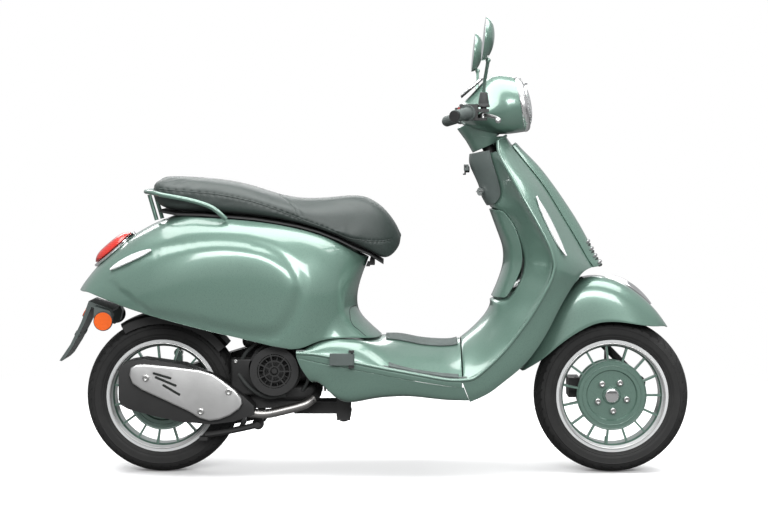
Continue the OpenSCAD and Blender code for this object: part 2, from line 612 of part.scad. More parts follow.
module grab_rail() {
  side = [[-432, 150, 757], [-456, 157, 780], [-484, 160, 797], [-541, 160, 814], [-610, 152, 826],
    [-648, 124, 833], [-672, 80, 835], [-680, 40, 835]];
  color("darkseagreen") {
    rod(concat(side, [for (i = [len(side) - 1:-1:0]) flip(side[i])]), rail_r, 8, 3);
    pair() bar([-668, 60, 826], [-646, 60, 751], 6);
  }
}

// Puts its children at both number plate screws, with +Z out of the plate's seat
module plate_screws() {
  pair() translate([-874, 50, 409]) rotate([0, -64, 0]) children();
}

module tail_mudguard() {
  color("dimgray") {
    difference() {
      union() {
        translate([0, 70, 0]) rotate([90, 0, 0]) linear_extrude(140) polygon([
          [-846, 512], [-868, 450], [-900, 384], [-923, 350], [-932.4, 336], [-926, 334],
          [-914, 346], [-890, 384], [-860, 442], [-838, 494], [-780, 478], [-776, 486]]);
        plate_screws() cylinder(h = 16, r = 8);
      }
      plate_screws() translate([0, 0, -1]) cylinder(h = 18, r = plate_r);
    }
    pair() translate([0, 114, 0]) rotate([90, 0, 0]) linear_extrude(44.4) polygon([
      [-822, 500], [-824, 452], [-814, 434], [-792, 430], [-776, 442], [-770, 470], [-776, 486]]);
  }
}

module reflectors() {
  color("orange") {
    pair() translate([-795, 115, 457]) rotate([-90, 0, 0]) cylinder(h = 7, r = 26);
    translate([-864.5, 0, 474]) rotate([0, -62, 0]) cylinder(h = 5, r = 18);
  }
}

// ---- steering ----------------------------------------------------------------------

// Point on the handlebar's bent end: share t of the way out from its bend
function bar_end(side, t) = [268 - 43 * t, side * (235 + (bar_half - 5 - 235) * t), 1063.5 - 12.5 * t];

module fork() {
  color("dimgray") {
    steered() {
      difference() {
        translate([0, 0, -505]) cylinder(h = 604, r = stem_r);
        translate([0, 0, -440]) cylinder(h = 560, r = stem_r - 4);
      }
      for (z = [-424, -44]) difference() {
        translate([0, 0, z]) cylinder(h = 12, r = stem_r + 2 - run);
        translate([0, 0, z - 1]) cylinder(h = 14, r = stem_r - 1);
      }
      rod([[0, 0, -504], [4, 40, -521], [24, 72, -566], [66, 78, -670], [123.6, 78, -828]], 12);
    }
    difference() {
      across(link_at.x, link_at.z, 66, 90, 17);
      across(link_at.x, link_at.z, 65, 91, 8 + run);
    }
  }
}

module headset() {
  color("darkseagreen") {
    sheet(patch(headset_net, 0, 16, 0, 6, 28, 10, true), skin, true,
      keep = function (r, c) !((r == 7 || r == 8) && abs(abs(c - 13.5) - 7.5) <= 1)
        && !(r >= 5 && r <= 7 && abs(c - 13.5) < 2));
    sheet([for (k = [0:4]) [for (a = [0:15:345])
      let (x = (49 + 1.5 * k) * cos(a), foot = 3, head = 32 - (x > 0 ? 0.42 : 0.6) * x)
      from_stem([x, (48 + 1.5 * k) * sin(a), foot + (head - foot) * k / 4])]], 2.2, true);
  }
}

lamp_at = [428.6, 0, 1095.5];
lamp_tilt = 11.2;

module lamp() {
  translate(lamp_at) rotate([0, 90 - lamp_tilt, 0]) children();
}

module headlamp_ring() {
  color("silver") lamp() rotate_extrude() polygon([
    [70, 0.6], [84.5, 0.6], [86, 5], [85, 11], [81, 17], [76, 20], [73.5, 19], [73.5, 4], [70, 4]]);
}

module headlamp_lens() {
  color("lightgray") lamp() rotate_extrude() polygon(concat(
    [for (a = [0:10:90]) [73 * sin(a), 14 + 23 * cos(a)]],
    [for (a = [90:-10:0]) [70.5 * sin(a), 13.5 + 20.5 * cos(a)]]));
}

module dash() {
  color("black") translate([293, 0, 1141]) rotate([0, -41, 0]) {
    translate([0, 0, 1.5]) cylinder(h = 4, r = 44);
    translate([0, 0, 5.1]) cylinder(h = 1.9, r = 38);
  }
}

module handlebar() {
  color("dimgray") {
    rod([bar_end(1, 0.1), bar_end(1, 0), [285, 130, 1068], [285, -130, 1068], bar_end(-1, 0),
      bar_end(-1, 0.1)], bar_r - 0.3, 12, 1);
    for (side = [-1, 1]) {
      bar(bar_end(side, 0.02), bar_end(side, 1.01), bar_r);
      bar(bar_end(side, 1), bar_end(side, 1.035), grip_r - 2);
    }
  }
}

module grip(side) {
  difference() {
    union() {
      bar(bar_end(side, 0.06), bar_end(side, 0.985), grip_r);
      bar(bar_end(side, 0.03), bar_end(side, 0.08), grip_r + 6);
    }
    bar(bar_end(side, -0.2), bar_end(side, 1.3), bar_r + run);
  }
}

module left_grip() {
  color("darkslategray") grip(1);
}

module throttle_grip() {
  color("darkslategray") grip(-1);
}

// Where the levers turn, on the left side
perch = [314, 180, 1058];

module switch_pods() {
  color("black") pair() difference() {
    union() {
      translate([246, 152, 1043]) cube([50, 66, 46]);
      translate([295, 168, 1066.5]) cube([34, 42, 9]);
      translate([295, 168, 1043]) cube([30, 24, 7]);
      translate(perch - [0, 0, 10]) cylinder(h = 20, r = 4);
      translate([314, 196, 1075]) cylinder(h = 6, r = 9);
    }
    bar([289.1, 105, 1069.1], [263.9, 260, 1062.4], bar_r + gap);
    translate([240, 190, 1058]) rotate([0, 90, 0]) cylinder(h = 17, r = 7 + gap);
    translate([240, 170, 1072]) cube([13, 20, 10]);
  }
}

module brake_lever() {
  difference() {
    union() {
      translate(perch - [0, 0, 7.4]) cylinder(h = 15, r = 10);
      rod([perch, [330, 214, 1056], [345, 255, 1050], [352, 300, 1043], [347, 338, 1040]], 5.5);
      translate([347, 338, 1040]) sphere(r = 8);
    }
    translate(perch - [0, 0, 20]) cylinder(h = 40, r = 4 + run);
  }
}

module brake_lever_left() {
  color("silver") brake_lever();
}

module brake_lever_right() {
  color("silver") mirror([0, 1, 0]) brake_lever();
}

// Where a mirror's head turns on its stem, on the left side
mirror_at = [321, 300, 1210];

module mirror_stems() {
  color("black") pair() {
    translate([314, 196, 1081]) cylinder(h = 26, r1 = 13, r2 = 8.5);
    rod([[314, 196, 1106], [315, 214, 1148], [319, 270, 1188], mirror_at], 5.5);
    translate(mirror_at) sphere(r = 7.5);
  }
}

module mirror_head() {
  translate([308, 312, 1270]) rotate([0, 96, 0]) children();
}

module mirror_left() {
  color("darkseagreen") mirror_head() difference() {
    rotate_extrude() polygon(concat(
      [for (a = [0:10:90]) [62 * sin(a), 30 * cos(a)]],
      [for (a = [90:-10:0]) [58 * sin(a), 26.5 * cos(a)]]));
    translate([60, -12, 12]) sphere(r = 13);
  }
  color("silver") mirror_head() translate([0, 0, 2]) cylinder(h = 3, r = 57.6);
}

module mirror_right() {
  mirror([0, 1, 0]) mirror_left();
}

module starter_button() {
  color("dimgray") translate([238.5, -190, 1058]) rotate([0, 90, 0]) cylinder(h = 14, r = 7);
}

module horn_button() {
  color("dimgray") translate([238.5, 190, 1058]) rotate([0, 90, 0]) cylinder(h = 14, r = 7);
}

module kill_switch() {
  color("firebrick") translate([240, -187, 1073]) cube([12, 8, 8]);
}

module turn_switch() {
  color("dimgray") translate([240, 176, 1073]) cube([12, 8, 8]);
}

// ---- wheels and front link ---------------------------------------------------------

module turned(x) {
  translate([x, 0, tyre_r]) rotate([-90, 0, 0]) children();
}

// Rim with its dished hub; the open face is to the right
module rim() {
  half = tyre_w * 0.43;
  difference() {
    union() {
      rotate_extrude() polygon([
        [rim_r, -half], [rim_r, -half + 5], [rim_r - 7, -half + 7], [rim_r - 9, -half + 14],
        [rim_r - 17, -half + 24], [rim_r - 17, half - 24], [rim_r - 9, half - 14],
        [rim_r - 7, half - 7], [rim_r, half - 5], [rim_r, half], [rim_r - 9, half],
        [rim_r - 14, half - 9], [rim_r - 21, half - 22], [rim_r - 21, 22 - half],
        [rim_r - 14, 9 - half], [rim_r - 9, -half]]);
      rotate_extrude() polygon([
        [0, -34], [24, -34], [28, -30], [72, -30], [76, -36], [98, -36], [104, -31], [104, -22],
        [70, -20], [36, -16], [36, 34], [0, 34]]);
      for (i = [0:spokes - 1]) rotate([0, 0, i * 360 / spokes])
        translate([100, -3, -33]) cube([rim_r - 119, 6, 16]);
      rotate([0, 0, 97]) translate([rim_r - 19, 0, -26]) rotate([0, -60, 0]) cylinder(h = 24, r = 4);
    }
    translate([0, 0, -50]) cylinder(h = 100, r = axle_r + run);
  }
  for (i = [0:4]) rotate([0, 0, i * 72 + 14]) translate([bolt_pcd / 2, 0, -38])
    cylinder(h = 8.2, r = 9);
}

// Carcass and tread of a tyre, open towards the rim
module tyre() {
  h = tyre_w / 2;
  rotate_extrude() polygon([
    [rim_r + 0.4, -h + 8.5], [rim_r + 18, -h + 1.5], [rim_r + 34, -h], [rim_r + 46, -h + 5],
    [tyre_r - 7, -h + 18], [tyre_r - 2, -h + 34], [tyre_r, -h + 50], [tyre_r, h - 50],
    [tyre_r - 2, h - 34], [tyre_r - 7, h - 18], [rim_r + 46, h - 5], [rim_r + 34, h],
    [rim_r + 18, h - 1.5], [rim_r + 0.4, h - 8.5], [rim_r + 0.4, h - 13.3], [rim_r - 5.6, h - 15.4],
    [rim_r - 6.6, h - 20],
    [rim_r + 10, h - 16], [tyre_r - 16, h - 22], [tyre_r - 11, 0], [tyre_r - 16, 22 - h],
    [rim_r + 10, 16 - h], [rim_r - 6.6, 20 - h], [rim_r - 5.6, 15.4 - h], [rim_r + 0.4, 13.3 - h]]);
}

module front_rim() {
  color("darkseagreen") turned(front_x) rim();
  color("silver") turned(front_x) difference() {
    union() {
      translate([0, 0, 38]) cylinder(h = 4, r = disc_r);
      translate([0, 0, 34]) cylinder(h = 5, r = 40);
    }
    translate([0, 0, 30]) cylinder(h = 20, r = axle_r + run);
    for (i = [0:11]) rotate([0, 0, i * 30]) translate([disc_r - 16, 0, 30]) cylinder(h = 20, r = 5);
  }
}

module front_tyre() {
  color("black") turned(front_x) tyre();
}

module rear_rim() {
  color("darkseagreen") turned(rear_x) rim();
}

module rear_tyre() {
  color("black") turned(rear_x) tyre();
}

module front_link() {
  color("dimgray") {
    difference() {
      union() {
        across(link_at.x, link_at.z, link_y, link_y + 13, 22);
        across(front_x, tyre_r, link_y, link_y + 13, 26);
        translate([front_x, link_y + 1, tyre_r]) rotate([0, -12, 0]) translate([0, 0, -14])
          cube([norm([link_at.x - front_x, link_at.z - tyre_r]), 11, 28]);
        translate([front_x - 112, link_y + 1, tyre_r - 8]) cube([112, 11, 36]);
        translate([front_x - 122, 46, tyre_r - 14]) cube([34, 59, 58]);
        translate([front_x - 122, 22, tyre_r - 14]) cube([34, 12, 58]);
        translate([front_x - 122, 22, tyre_r - 14]) cube([18, 40, 58]);
      }
    }
    across(link_at.x, link_at.z, 64, link_y + 10, 8);
    across(front_x, tyre_r, -40, link_y + 10, axle_r);
    bar([front_x - 4, 98, tyre_r + 30], [front_x - 2, 98, tyre_r + 120], 4);
    translate([front_x - 16, 88, tyre_r + 14]) cube([24, 16, 20]);
  }
}

// ---- engine ------------------------------------------------------------------------

crank_x = -292;
crank_z = 315;
stand_at = [-345, 0, 150];

module engine_case() {
  color("gray") difference() {
    union() {
      across(crank_x, crank_z, -100, 66, 78);
      translate([-368, -70, 196]) cube([146, 138, 70]);
      translate([0, 126, 0]) rotate([90, 0, 0]) linear_extrude(60) polygon([
        [-190, 290], [-206, 342], [-300, 380], [-400, 356], [-560, 306], [-640, 286], [-690, 262],
        [-702, 229], [-690, 196], [-640, 178], [-400, 188], [-240, 210]]);
      translate([-240, 0, 292]) rotate([0, 90, 0]) cylinder(h = 110, r = 40);
      for (i = [0:7]) translate([-212 + i * 10, 0, 292]) rotate([0, 90, 0]) cylinder(h = 4, r = 56);
      bar([-170, 0, 292], [-170, -60, 252], 16);
      across(rear_x, tyre_r, -42, 70, axle_r);
      pair() {
        translate([-240, 34, 176]) cube([148, 12, 34]);
        across(swing_at.x, swing_at.z, 34, 46, 22);
        across(stand_at.x, stand_at.z, 60, 74, 17);
        translate([stand_at.x - 12, 60, stand_at.z]) cube([24, 11, 40]);
      }
    }
    across(swing_at.x, swing_at.z, -60, 60, pivot_r + run);
    across(stand_at.x, stand_at.z, -90, 90, 9 + run);
    across(crank_x, crank_z, -101, -70, 8 + run);
  }
}

module fan_cover() {
  color("black") translate([crank_x, -150, crank_z]) rotate([-90, 0, 0]) {
    difference() {
      cylinder(h = 49, r = fan_r);
      translate([0, 0, 4]) cylinder(h = 50, r = fan_r - 6);
      translate([0, 0, -1]) cylinder(h = 10, r = 50);
    }
    for (r = [46, 30, 14]) difference() {
      cylinder(h = 4, r = r + 2);
      translate([0, 0, -1]) cylinder(h = 6, r = r - 2);
    }
    for (i = [0:6]) rotate([0, 0, i * 360 / 7]) translate([13, -2, 0]) cube([40, 4, 4]);
  }
}

module cooling_fan() {
  color("dimgray") translate([crank_x, -142, crank_z]) rotate([-90, 0, 0]) {
    translate([0, 0, 26]) cylinder(h = 4, r = 58);
    cylinder(h = 68, r = 8);
    for (i = [0:13]) rotate([0, 0, i * 360 / 14]) translate([30, -1.5, 4]) cube([27, 3, 23]);
  }
}

module exhaust() {
  color("dimgray") {
    rod([[-170, -61.2, 251.2], [-170, -76, 241.3], [-180, -94, 229], [-208, -108, 212], [-260, -112, 198], [-318, -112, 186],
      [-372, -112, 190]], pipe_r);
    translate([0, -72, 0]) rotate([90, 0, 0]) linear_extrude(74) polygon([
      [-745, 318], [-738, 332], [-712, 344], [-672, 350], [-554, 333], [-450, 290], [-380, 240],
      [-352, 214], [-350, 188], [-410, 168], [-475, 160], [-569, 168], [-650, 186], [-716, 204],
      [-738, 216], [-745, 232]]);
    translate([-400, -80, 238]) cube([36, 9.6, 28]);
  }
}

module muffler_shield() {
  color("silver") translate([0, -146.4, 0]) rotate([90, 0, 0]) linear_extrude(17) polygon([
    [-712, 306], [-708, 326], [-690, 335], [-668, 337], [-590, 330], [-507, 320], [-468, 308],
    [-436, 286], [-405, 262], [-386, 240], [-384, 222], [-394, 206], [-420, 188], [-450, 176],
    [-478, 172], [-508, 180], [-537, 198], [-610, 232], [-676, 262], [-702, 280]]);
}

module rear_hugger() {
  color("black") {
    translate([rear_x, 0, tyre_r]) rotate([90, 0, 0]) rotate([0, 0, 38])
      rotate_extrude(angle = 82) polygon([
        [214, 61], [214, 64], [238, 64], [246, 54], [246, -54], [238, -64], [214, -64], [214, -61],
        [236, -61], [243, -52.8], [243, 52.8], [236, 61]]);
    translate([-500, 58, 372]) cube([46, 20, 6]);
  }
}

module centre_stand() {
  color("dimgray") {
    across(stand_at.x, stand_at.z, -100, 100, 9);
    pair() {
      rod([[stand_at.x, 92, stand_at.z], [-420, 94, 134], [-498, 98, 122]], 9);
      translate([-514, 86, 108]) cube([24, 30, 10]);
    }
    bar([-396, -93, 139], [-396, 93, 139], 7);
  }
}

// Foot of the rear damper and the way its tube points
shock_foot = [-602, 104, 340];
shock_way = [0.39, 0, 0.9208];

module rear_shock_body() {
  top = shock_foot + 265 * shock_way;
  color("dimgray") {
    translate(shock_foot) rotate([0, atan2(shock_way.x, shock_way.z), 0]) rotate_extrude()
      polygon([[18, 84], [21, 84], [21, 205], [9, 208], [9, 258], [0, 258], [0, 192], [18, 192]]);
    across(top.x, top.z, 92, 139, 13);
  }
}

module rear_shock_rod() {
  color("silver") {
    bar(shock_foot, shock_foot + 94 * shock_way, 5);
    across(shock_foot.x, shock_foot.z, 92, 116, 13);
    translate([-612, 94, 299.2]) cube([22, 20, 32]);
  }
}

module peg() {
  difference() {
    union() {
      translate([-128, 204.8, 341]) cube([64, 14.4, 33]);
      translate([-64, 212, 341]) cylinder(h = 33, r = 7);
    }
    translate([-64, 212, 330]) cylinder(h = 60, r = 3 + run);
  }
}

module peg_left() {
  color("dimgray") peg();
}

module peg_right() {
  color("dimgray") mirror([0, 1, 0]) peg();
}

rear_body();
floor_board();
leg_shield();
inner_shield();
column_cover();
horn_cover();
side_skirts();
floor_mats();
frame();
helmet_tub();
fuel_tank();
battery();
grab_rail();
tail_lamp();
tail_lens();
indicators();
tail_mudguard();
reflectors();
horn();
seat_pan();
seat_cushion();
glove_door();
bag_hook();
ignition_lock();
fuel_cap();
peg_right();
peg_left();
fork();
headset();
headlamp_ring();
headlamp_lens();
dash();
handlebar();
left_grip();
switch_pods();
mirror_stems();
front_fender();
throttle_grip();
brake_lever_right();
brake_lever_left();
mirror_right();
mirror_left();
starter_button();
kill_switch();
horn_button();
turn_switch();
front_link();
front_rim();
front_tyre();
engine_case();
fan_cover();
cooling_fan();
exhaust();
muffler_shield();
rear_hugger();
centre_stand();
rear_rim();
rear_tyre();
rear_shock_body();
rear_shock_rod();
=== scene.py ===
"""Classic step-through scooter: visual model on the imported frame. Metres, +X forward, +Y left, +Z up."""
import bpy
import json
import math
import random
from mathutils import Matrix, Vector
from mathutils.bvhtree import BVHTree

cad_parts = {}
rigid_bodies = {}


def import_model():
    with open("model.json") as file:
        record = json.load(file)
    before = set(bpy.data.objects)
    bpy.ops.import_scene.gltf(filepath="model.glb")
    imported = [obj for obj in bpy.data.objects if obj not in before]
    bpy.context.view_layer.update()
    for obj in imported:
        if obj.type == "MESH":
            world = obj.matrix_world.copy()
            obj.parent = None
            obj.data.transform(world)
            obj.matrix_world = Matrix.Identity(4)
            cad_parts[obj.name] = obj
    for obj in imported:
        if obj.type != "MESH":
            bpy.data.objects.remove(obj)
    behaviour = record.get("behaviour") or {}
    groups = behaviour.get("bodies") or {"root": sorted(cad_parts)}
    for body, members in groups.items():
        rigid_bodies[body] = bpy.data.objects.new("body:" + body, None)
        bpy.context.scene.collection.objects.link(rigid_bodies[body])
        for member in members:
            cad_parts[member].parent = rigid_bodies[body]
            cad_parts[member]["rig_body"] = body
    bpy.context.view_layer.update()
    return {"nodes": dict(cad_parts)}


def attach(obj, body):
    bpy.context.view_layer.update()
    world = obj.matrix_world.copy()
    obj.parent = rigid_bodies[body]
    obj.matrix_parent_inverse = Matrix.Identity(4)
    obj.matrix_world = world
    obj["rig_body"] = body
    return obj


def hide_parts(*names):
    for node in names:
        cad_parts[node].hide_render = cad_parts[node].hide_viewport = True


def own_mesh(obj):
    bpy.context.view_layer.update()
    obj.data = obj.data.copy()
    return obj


for leftover in list(bpy.data.objects):
    bpy.data.objects.remove(leftover)
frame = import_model()
nodes = frame["nodes"]
random.seed(7)

AXLE_FRONT = (0.703, 0.0, 0.2294)
AXLE_REAR = (-0.631, 0.0, 0.2294)
RIM_R = 0.166
WHEEL_BOLT_R = 0.045
SWELL_LIMIT = 0.0055
SLOT_HALF = 0.0036
SHOCK_FOOT = Vector((-0.602, 0.104, 0.340))
SHOCK_WAY = Vector((0.39, 0.0, 0.9208)).normalized()


# ---- camera ------------------------------------------------------------------------

def add_camera():
    data = bpy.data.cameras.new("camera")
    cam = bpy.data.objects.new("camera", data)
    bpy.context.scene.collection.objects.link(cam)
    data.sensor_width = 36.0
    data.lens = 78.3
    data.shift_y = -0.133
    cam.location = (0.0594, -5.0, 0.9468)
    cam.rotation_euler = (math.radians(90), 0, math.radians(0.38))
    bpy.context.scene.camera = cam


add_camera()


# ---- finishes ----------------------------------------------------------------------

class Wire:
    """A value inside a finish; sums on it become Math nodes."""

    def __init__(self, made, socket):
        self.made = made
        self.socket = socket

    def sum(self, kind, *others):
        return self.made.node("ShaderNodeMath", dict(enumerate((self,) + others)), operation=kind)

    def other_first(self, kind, other):
        return self.made.node("ShaderNodeMath", {0: other, 1: self}, operation=kind)

    def __add__(self, other):
        return self.sum("ADD", other)

    def __sub__(self, other):
        return self.sum("SUBTRACT", other)

    def __mul__(self, other):
        return self.sum("MULTIPLY", other)

    def __truediv__(self, other):
        return self.sum("DIVIDE", other)

    def __rsub__(self, other):
        return self.other_first("SUBTRACT", other)

    __radd__ = __add__
    __rmul__ = __mul__

    def __gt__(self, other):
        return self.sum("GREATER_THAN", other)

    def __lt__(self, other):
        return self.sum("LESS_THAN", other)

    def __abs__(self):
        return self.sum("ABSOLUTE")

    def between(self, low, high):
        """0 below low and 1 above high, smooth from one to the other."""
        return self.made.node("ShaderNodeMapRange", {0: self, 1: low, 2: high, 3: 0.0, 4: 1.0},
                              interpolation_type="SMOOTHSTEP")


class Finish:
    """A material being made: one method adds any node."""

    def __init__(self, name, color, roughness=0.5, metallic=0.0, **plain):
        self.material = bpy.data.materials.new(name)
        self.material.use_nodes = True
        self.tree = self.material.node_tree
        self.shader = self.tree.nodes["Principled BSDF"]
        self.set("Base Color", (*color, 1.0))
        self.set("Roughness", roughness)
        self.set("Metallic", metallic)
        for socket, value in plain.items():
            self.set(socket.replace("_", " "), value)

    def set(self, socket, value):
        target = self.shader.inputs[socket]
        if isinstance(value, Wire):
            self.tree.links.new(value.socket, target)
        else:
            target.default_value = value

    def node(self, kind, inputs=None, out=0, stops=None, **settings):
        made = self.tree.nodes.new(kind)
        for key, value in settings.items():
            setattr(made, key, value)
        if stops:
            ramp = made.color_ramp
            while len(ramp.elements) < len(stops):
                ramp.elements.new(0.5)
            for element, (place, shade) in zip(ramp.elements, stops):
                element.position = place
                element.color = (*shade, 1.0)
        for key, value in (inputs or {}).items():
            if isinstance(value, Wire):
                self.tree.links.new(value.socket, made.inputs[key])
            else:
                made.inputs[key].default_value = value
        return Wire(self, made.outputs[out])

    def place(self, middle=(0, 0, 0), scale=(1, 1, 1)):
        """Object coordinates about a middle point."""
        spot = self.node("ShaderNodeTexCoord", out=3)
        if middle == (0, 0, 0) and scale == (1, 1, 1):
            return spot
        moved = self.node("ShaderNodeVectorMath", {0: spot, 1: middle}, operation="SUBTRACT")
        return self.node("ShaderNodeVectorMath", {0: moved, 1: scale}, operation="MULTIPLY")

    def axes(self, middle=(0, 0, 0)):
        spot = self.place(middle)
        split = self.node("ShaderNodeSeparateXYZ", {0: spot})
        bits = split.socket.node.outputs
        return [Wire(self, bits[i]) for i in range(3)]

    def noise(self, scale, detail=3.0, where=None, rough=0.5):
        return self.node("ShaderNodeTexNoise",
                         {"Vector": where or self.place(), "Scale": scale, "Detail": detail,
                          "Roughness": rough})

    def cells(self, scale, where=None, out=0, **settings):
        return self.node("ShaderNodeTexVoronoi", {"Vector": where or self.place(), "Scale": scale},
                         out=out, **settings)

    def mix(self, mask, low, high):
        low = low if isinstance(low, Wire) else (*low, 1.0)
        high = high if isinstance(high, Wire) else (*high, 1.0)
        return self.node("ShaderNodeMix", {0: mask, 6: low, 7: high}, out=2, data_type="RGBA")

    def bump(self, height, strength, depth):
        self.set("Normal", self.node("ShaderNodeBump",
                                     {"Height": height, "Strength": strength, "Distance": depth}))


def shade(color, k):
    return tuple(min(1.0, c * k) for c in color)


GREEN = (0.118, 0.200, 0.162)
GREY = (0.072, 0.090, 0.085)
SEAT = (0.022, 0.031, 0.028)


def paint(name, color, metallic=0.35, roughness=0.32):
    """Body paint: fine metal flake under a clear coat, with a faint orange peel."""
    made = Finish(name, color, roughness, metallic, Coat_Weight=1.0, Coat_Roughness=0.09, Coat_IOR=1.5)
    flake = made.cells(1500.0, out=1)
    bright = made.node("ShaderNodeSeparateColor", {0: flake})
    tone = made.noise(2.2, 2.0)
    base = made.mix(bright * 0.55, shade(color, 0.88), shade(color, 1.22))
    made.set("Base Color", made.mix(tone.between(0.35, 0.75) * 0.25, base, shade(color, 0.86)))
    made.set("Roughness", roughness - 0.05 + bright * 0.1)
    made.bump(made.noise(140.0, 2.0), 0.05, 0.0004)
    return made


def plastic(name, color, roughness=0.5, grain=900.0, depth=0.00012):
    """Moulded plastic with a fine pebble grain and worn, slightly shinier patches."""
    made = Finish(name, color, roughness)
    pebble = made.cells(grain)
    wear = made.noise(14.0, 4.0)
    made.set("Base Color", made.mix(wear.between(0.4, 0.8), shade(color, 0.88), shade(color, 1.16)))
    made.set("Roughness", roughness - 0.06 + wear * 0.14)
    made.bump(pebble, 0.35, depth)
    return made


def rubber(name, color, ribs=0.0, axis=1):
    """Dull rubber; ribs gives their spacing along an axis."""
    made = Finish(name, color, 0.7)
    dust = made.noise(30.0, 5.0)
    made.set("Base Color", made.mix(dust.between(0.45, 0.75), color, shade(color, 1.35)))
    made.set("Roughness", 0.62 + dust * 0.2)
    grain = made.noise(900.0, 2.0)
    if ribs:
        across = made.axes()[axis]
        wave = (across * (2 * math.pi / ribs)).sum("SINE")
        made.bump(wave.between(-0.3, 0.6) + grain * 0.12, 0.9, ribs * 0.22)
    else:
        made.bump(grain, 0.4, 0.0002)
    return made


def metal(name, color, roughness=0.2, streak=(1, 1, 1), scale=60.0, depth=0.00006, strength=0.25):
    """Bare or plated metal, with streaks or mottling in its roughness and bump."""
    made = Finish(name, color, roughness, 1.0)
    marks = made.noise(scale, 4.0, made.place((0, 0, 0), streak))
    haze = made.noise(9.0, 3.0)
    made.set("Base Color", made.mix(haze.between(0.35, 0.8), color, shade(color, 0.84)))
    made.set("Roughness", roughness * 0.8 + marks * (roughness * 0.5) + haze * 0.03)
    made.bump(marks, strength, depth)
    return made


def casting(name, color, metallic, roughness=0.5):
    """Sand cast or satin painted surface with a fine rough skin and grime in places."""
    made = Finish(name, color, roughness, metallic)
    skin = made.noise(420.0, 4.0)
    grime = made.noise(11.0, 5.0)
    made.set("Base Color", made.mix(grime.between(0.42, 0.72), color, shade(color, 0.6)))
    made.set("Roughness", roughness - 0.08 + grime * 0.25)
    made.bump(skin, 0.4, 0.0003)
    return made


def upholstery(name, color):
    """Grained seat cover: pebbled hide, soft creases, a little sheen."""
    made = Finish(name, color, 0.48, Sheen_Weight=0.05, Sheen_Roughness=0.4)
    hide = made.cells(520.0, feature="SMOOTH_F1")
    pores = made.noise(1400.0, 2.0)
    crease = made.noise(38.0, 3.0)
    made.set("Base Color", made.mix(hide.between(0.1, 0.7), shade(color, 0.78), shade(color, 1.2)))
    made.set("Roughness", 0.4 + hide * 0.18 + crease * 0.08)
    made.bump(hide * 0.7 + pores * 0.2 + crease * 0.35, 0.5, 0.0006)
    return made


def lens(name, color, roughness=0.06, ribs=0.0, through=0.85):
    """Moulded lamp lens, clear or tinted, with fine prisms inside."""
    made = Finish(name, color, roughness, Transmission_Weight=through, IOR=1.45, Coat_Weight=0.6)
    x, y, z = made.axes()
    step = ribs or 0.008
    prism = (z * (2 * math.pi / step)).sum("SINE") * 0.5 + (y * (2 * math.pi / step)).sum("SINE") * 0.5
    made.set("Base Color", made.mix(prism.between(-0.6, 0.6), shade(color, 0.86), color))
    made.bump(prism, 0.35, 0.0006)
    return made


def wheel_angle(made, axle):
    """(distance from the axle, angle round it, place across) of a wheel's surface."""
    x, y, z = made.axes(axle)
    far = (x * x + z * z).sum("SQRT")
    return far, z.sum("ARCTAN2", x), y


def rim_paint(name, axle):
    """Wheel paint that turns to a pale polished lip at the rim's edge."""
    made = paint(name, GREEN)
    far = wheel_angle(made, axle)[0]
    lip = far.between(RIM_R - 0.0172, RIM_R - 0.0166)
    flake = made.shader.inputs["Base Color"].links[0].from_socket
    made.set("Base Color", made.mix(lip, Wire(made, flake), (0.62, 0.63, 0.63)))
    made.set("Metallic", 0.35 - lip * 0.2)
    return made


def tread(name, axle):
    """Tyre: grooved tread, ringed side wall and a dull dusty surface."""
    color = (0.006, 0.006, 0.006)
    made = Finish(name, color, 0.7)
    far, turn, across = wheel_angle(made, axle)
    side = abs(across)
    zig = (turn * (46 / (2 * math.pi)) + side * 42.0).sum("FRACT")
    zag = (turn * (23 / (2 * math.pi)) - side * 30.0 + across.sum("SIGN") * 0.25).sum("FRACT")
    crown = far.between(0.208, 0.212)
    slots = (1 - abs(zig - 0.5).between(0.07, 0.13)) * side.between(0.018, 0.021) * crown
    sweep = (1 - abs(zag - 0.5).between(0.035, 0.06)) * (1 - side.between(0.026, 0.03)) * crown
    ring = (1 - abs(side - 0.0105).between(0.0012, 0.0026)) * crown
    cut = slots.sum("MAXIMUM", sweep).sum("MAXIMUM", ring)
    bands = (far * (2 * math.pi / 0.006)).sum("SINE")
    wall = (1 - crown) * (far.between(0.17, 0.175) - far.between(0.178, 0.18) + far.between(0.196, 0.2)
                          - far.between(0.203, 0.206))
    dust = made.noise(26.0, 4.0)
    made.set("Base Color", made.mix(dust.between(0.4, 0.8) * (1 - cut), color, (0.014, 0.014, 0.0135)))
    made.set("Roughness", 0.62 + dust * 0.2 + cut * 0.2)
    made.bump(made.noise(700.0, 2.0) * 0.04 - cut + wall * bands * 0.12, 1.0, 0.0035)
    return made


green = paint("green_paint", GREEN)
grey_plastic = plastic("grey_plastic", GREY, 0.46)
black_plastic = plastic("black_plastic", (0.010, 0.010, 0.010), 0.5)
red_plastic = plastic("red_plastic", (0.45, 0.02, 0.015), 0.35)
mat_rubber = rubber("mat_rubber", GREY, 0.008, 1)
grip_rubber = rubber("grip_rubber", shade(GREY, 0.8), 0.006, 1)
plain_rubber = rubber("plain_rubber", (0.03, 0.033, 0.032))
hide = upholstery("seat_cover", SEAT)
chassis = casting("chassis_paint", (0.012, 0.012, 0.012), 0.0, 0.5)
cast = casting("cast_alloy", (0.035, 0.035, 0.035), 0.6, 0.5)
chrome = metal("chrome", (0.82, 0.82, 0.82), 0.06, scale=30.0, strength=0.05)
lamp_ring = metal("lamp_ring_chrome", (0.86, 0.86, 0.86), 0.24, scale=30.0, strength=0.05)
satin = metal("satin_metal", (0.60, 0.60, 0.595), 0.36, (1, 1, 18), 50.0)
steel = metal("bolt_steel", (0.5, 0.5, 0.49), 0.28, scale=200.0)
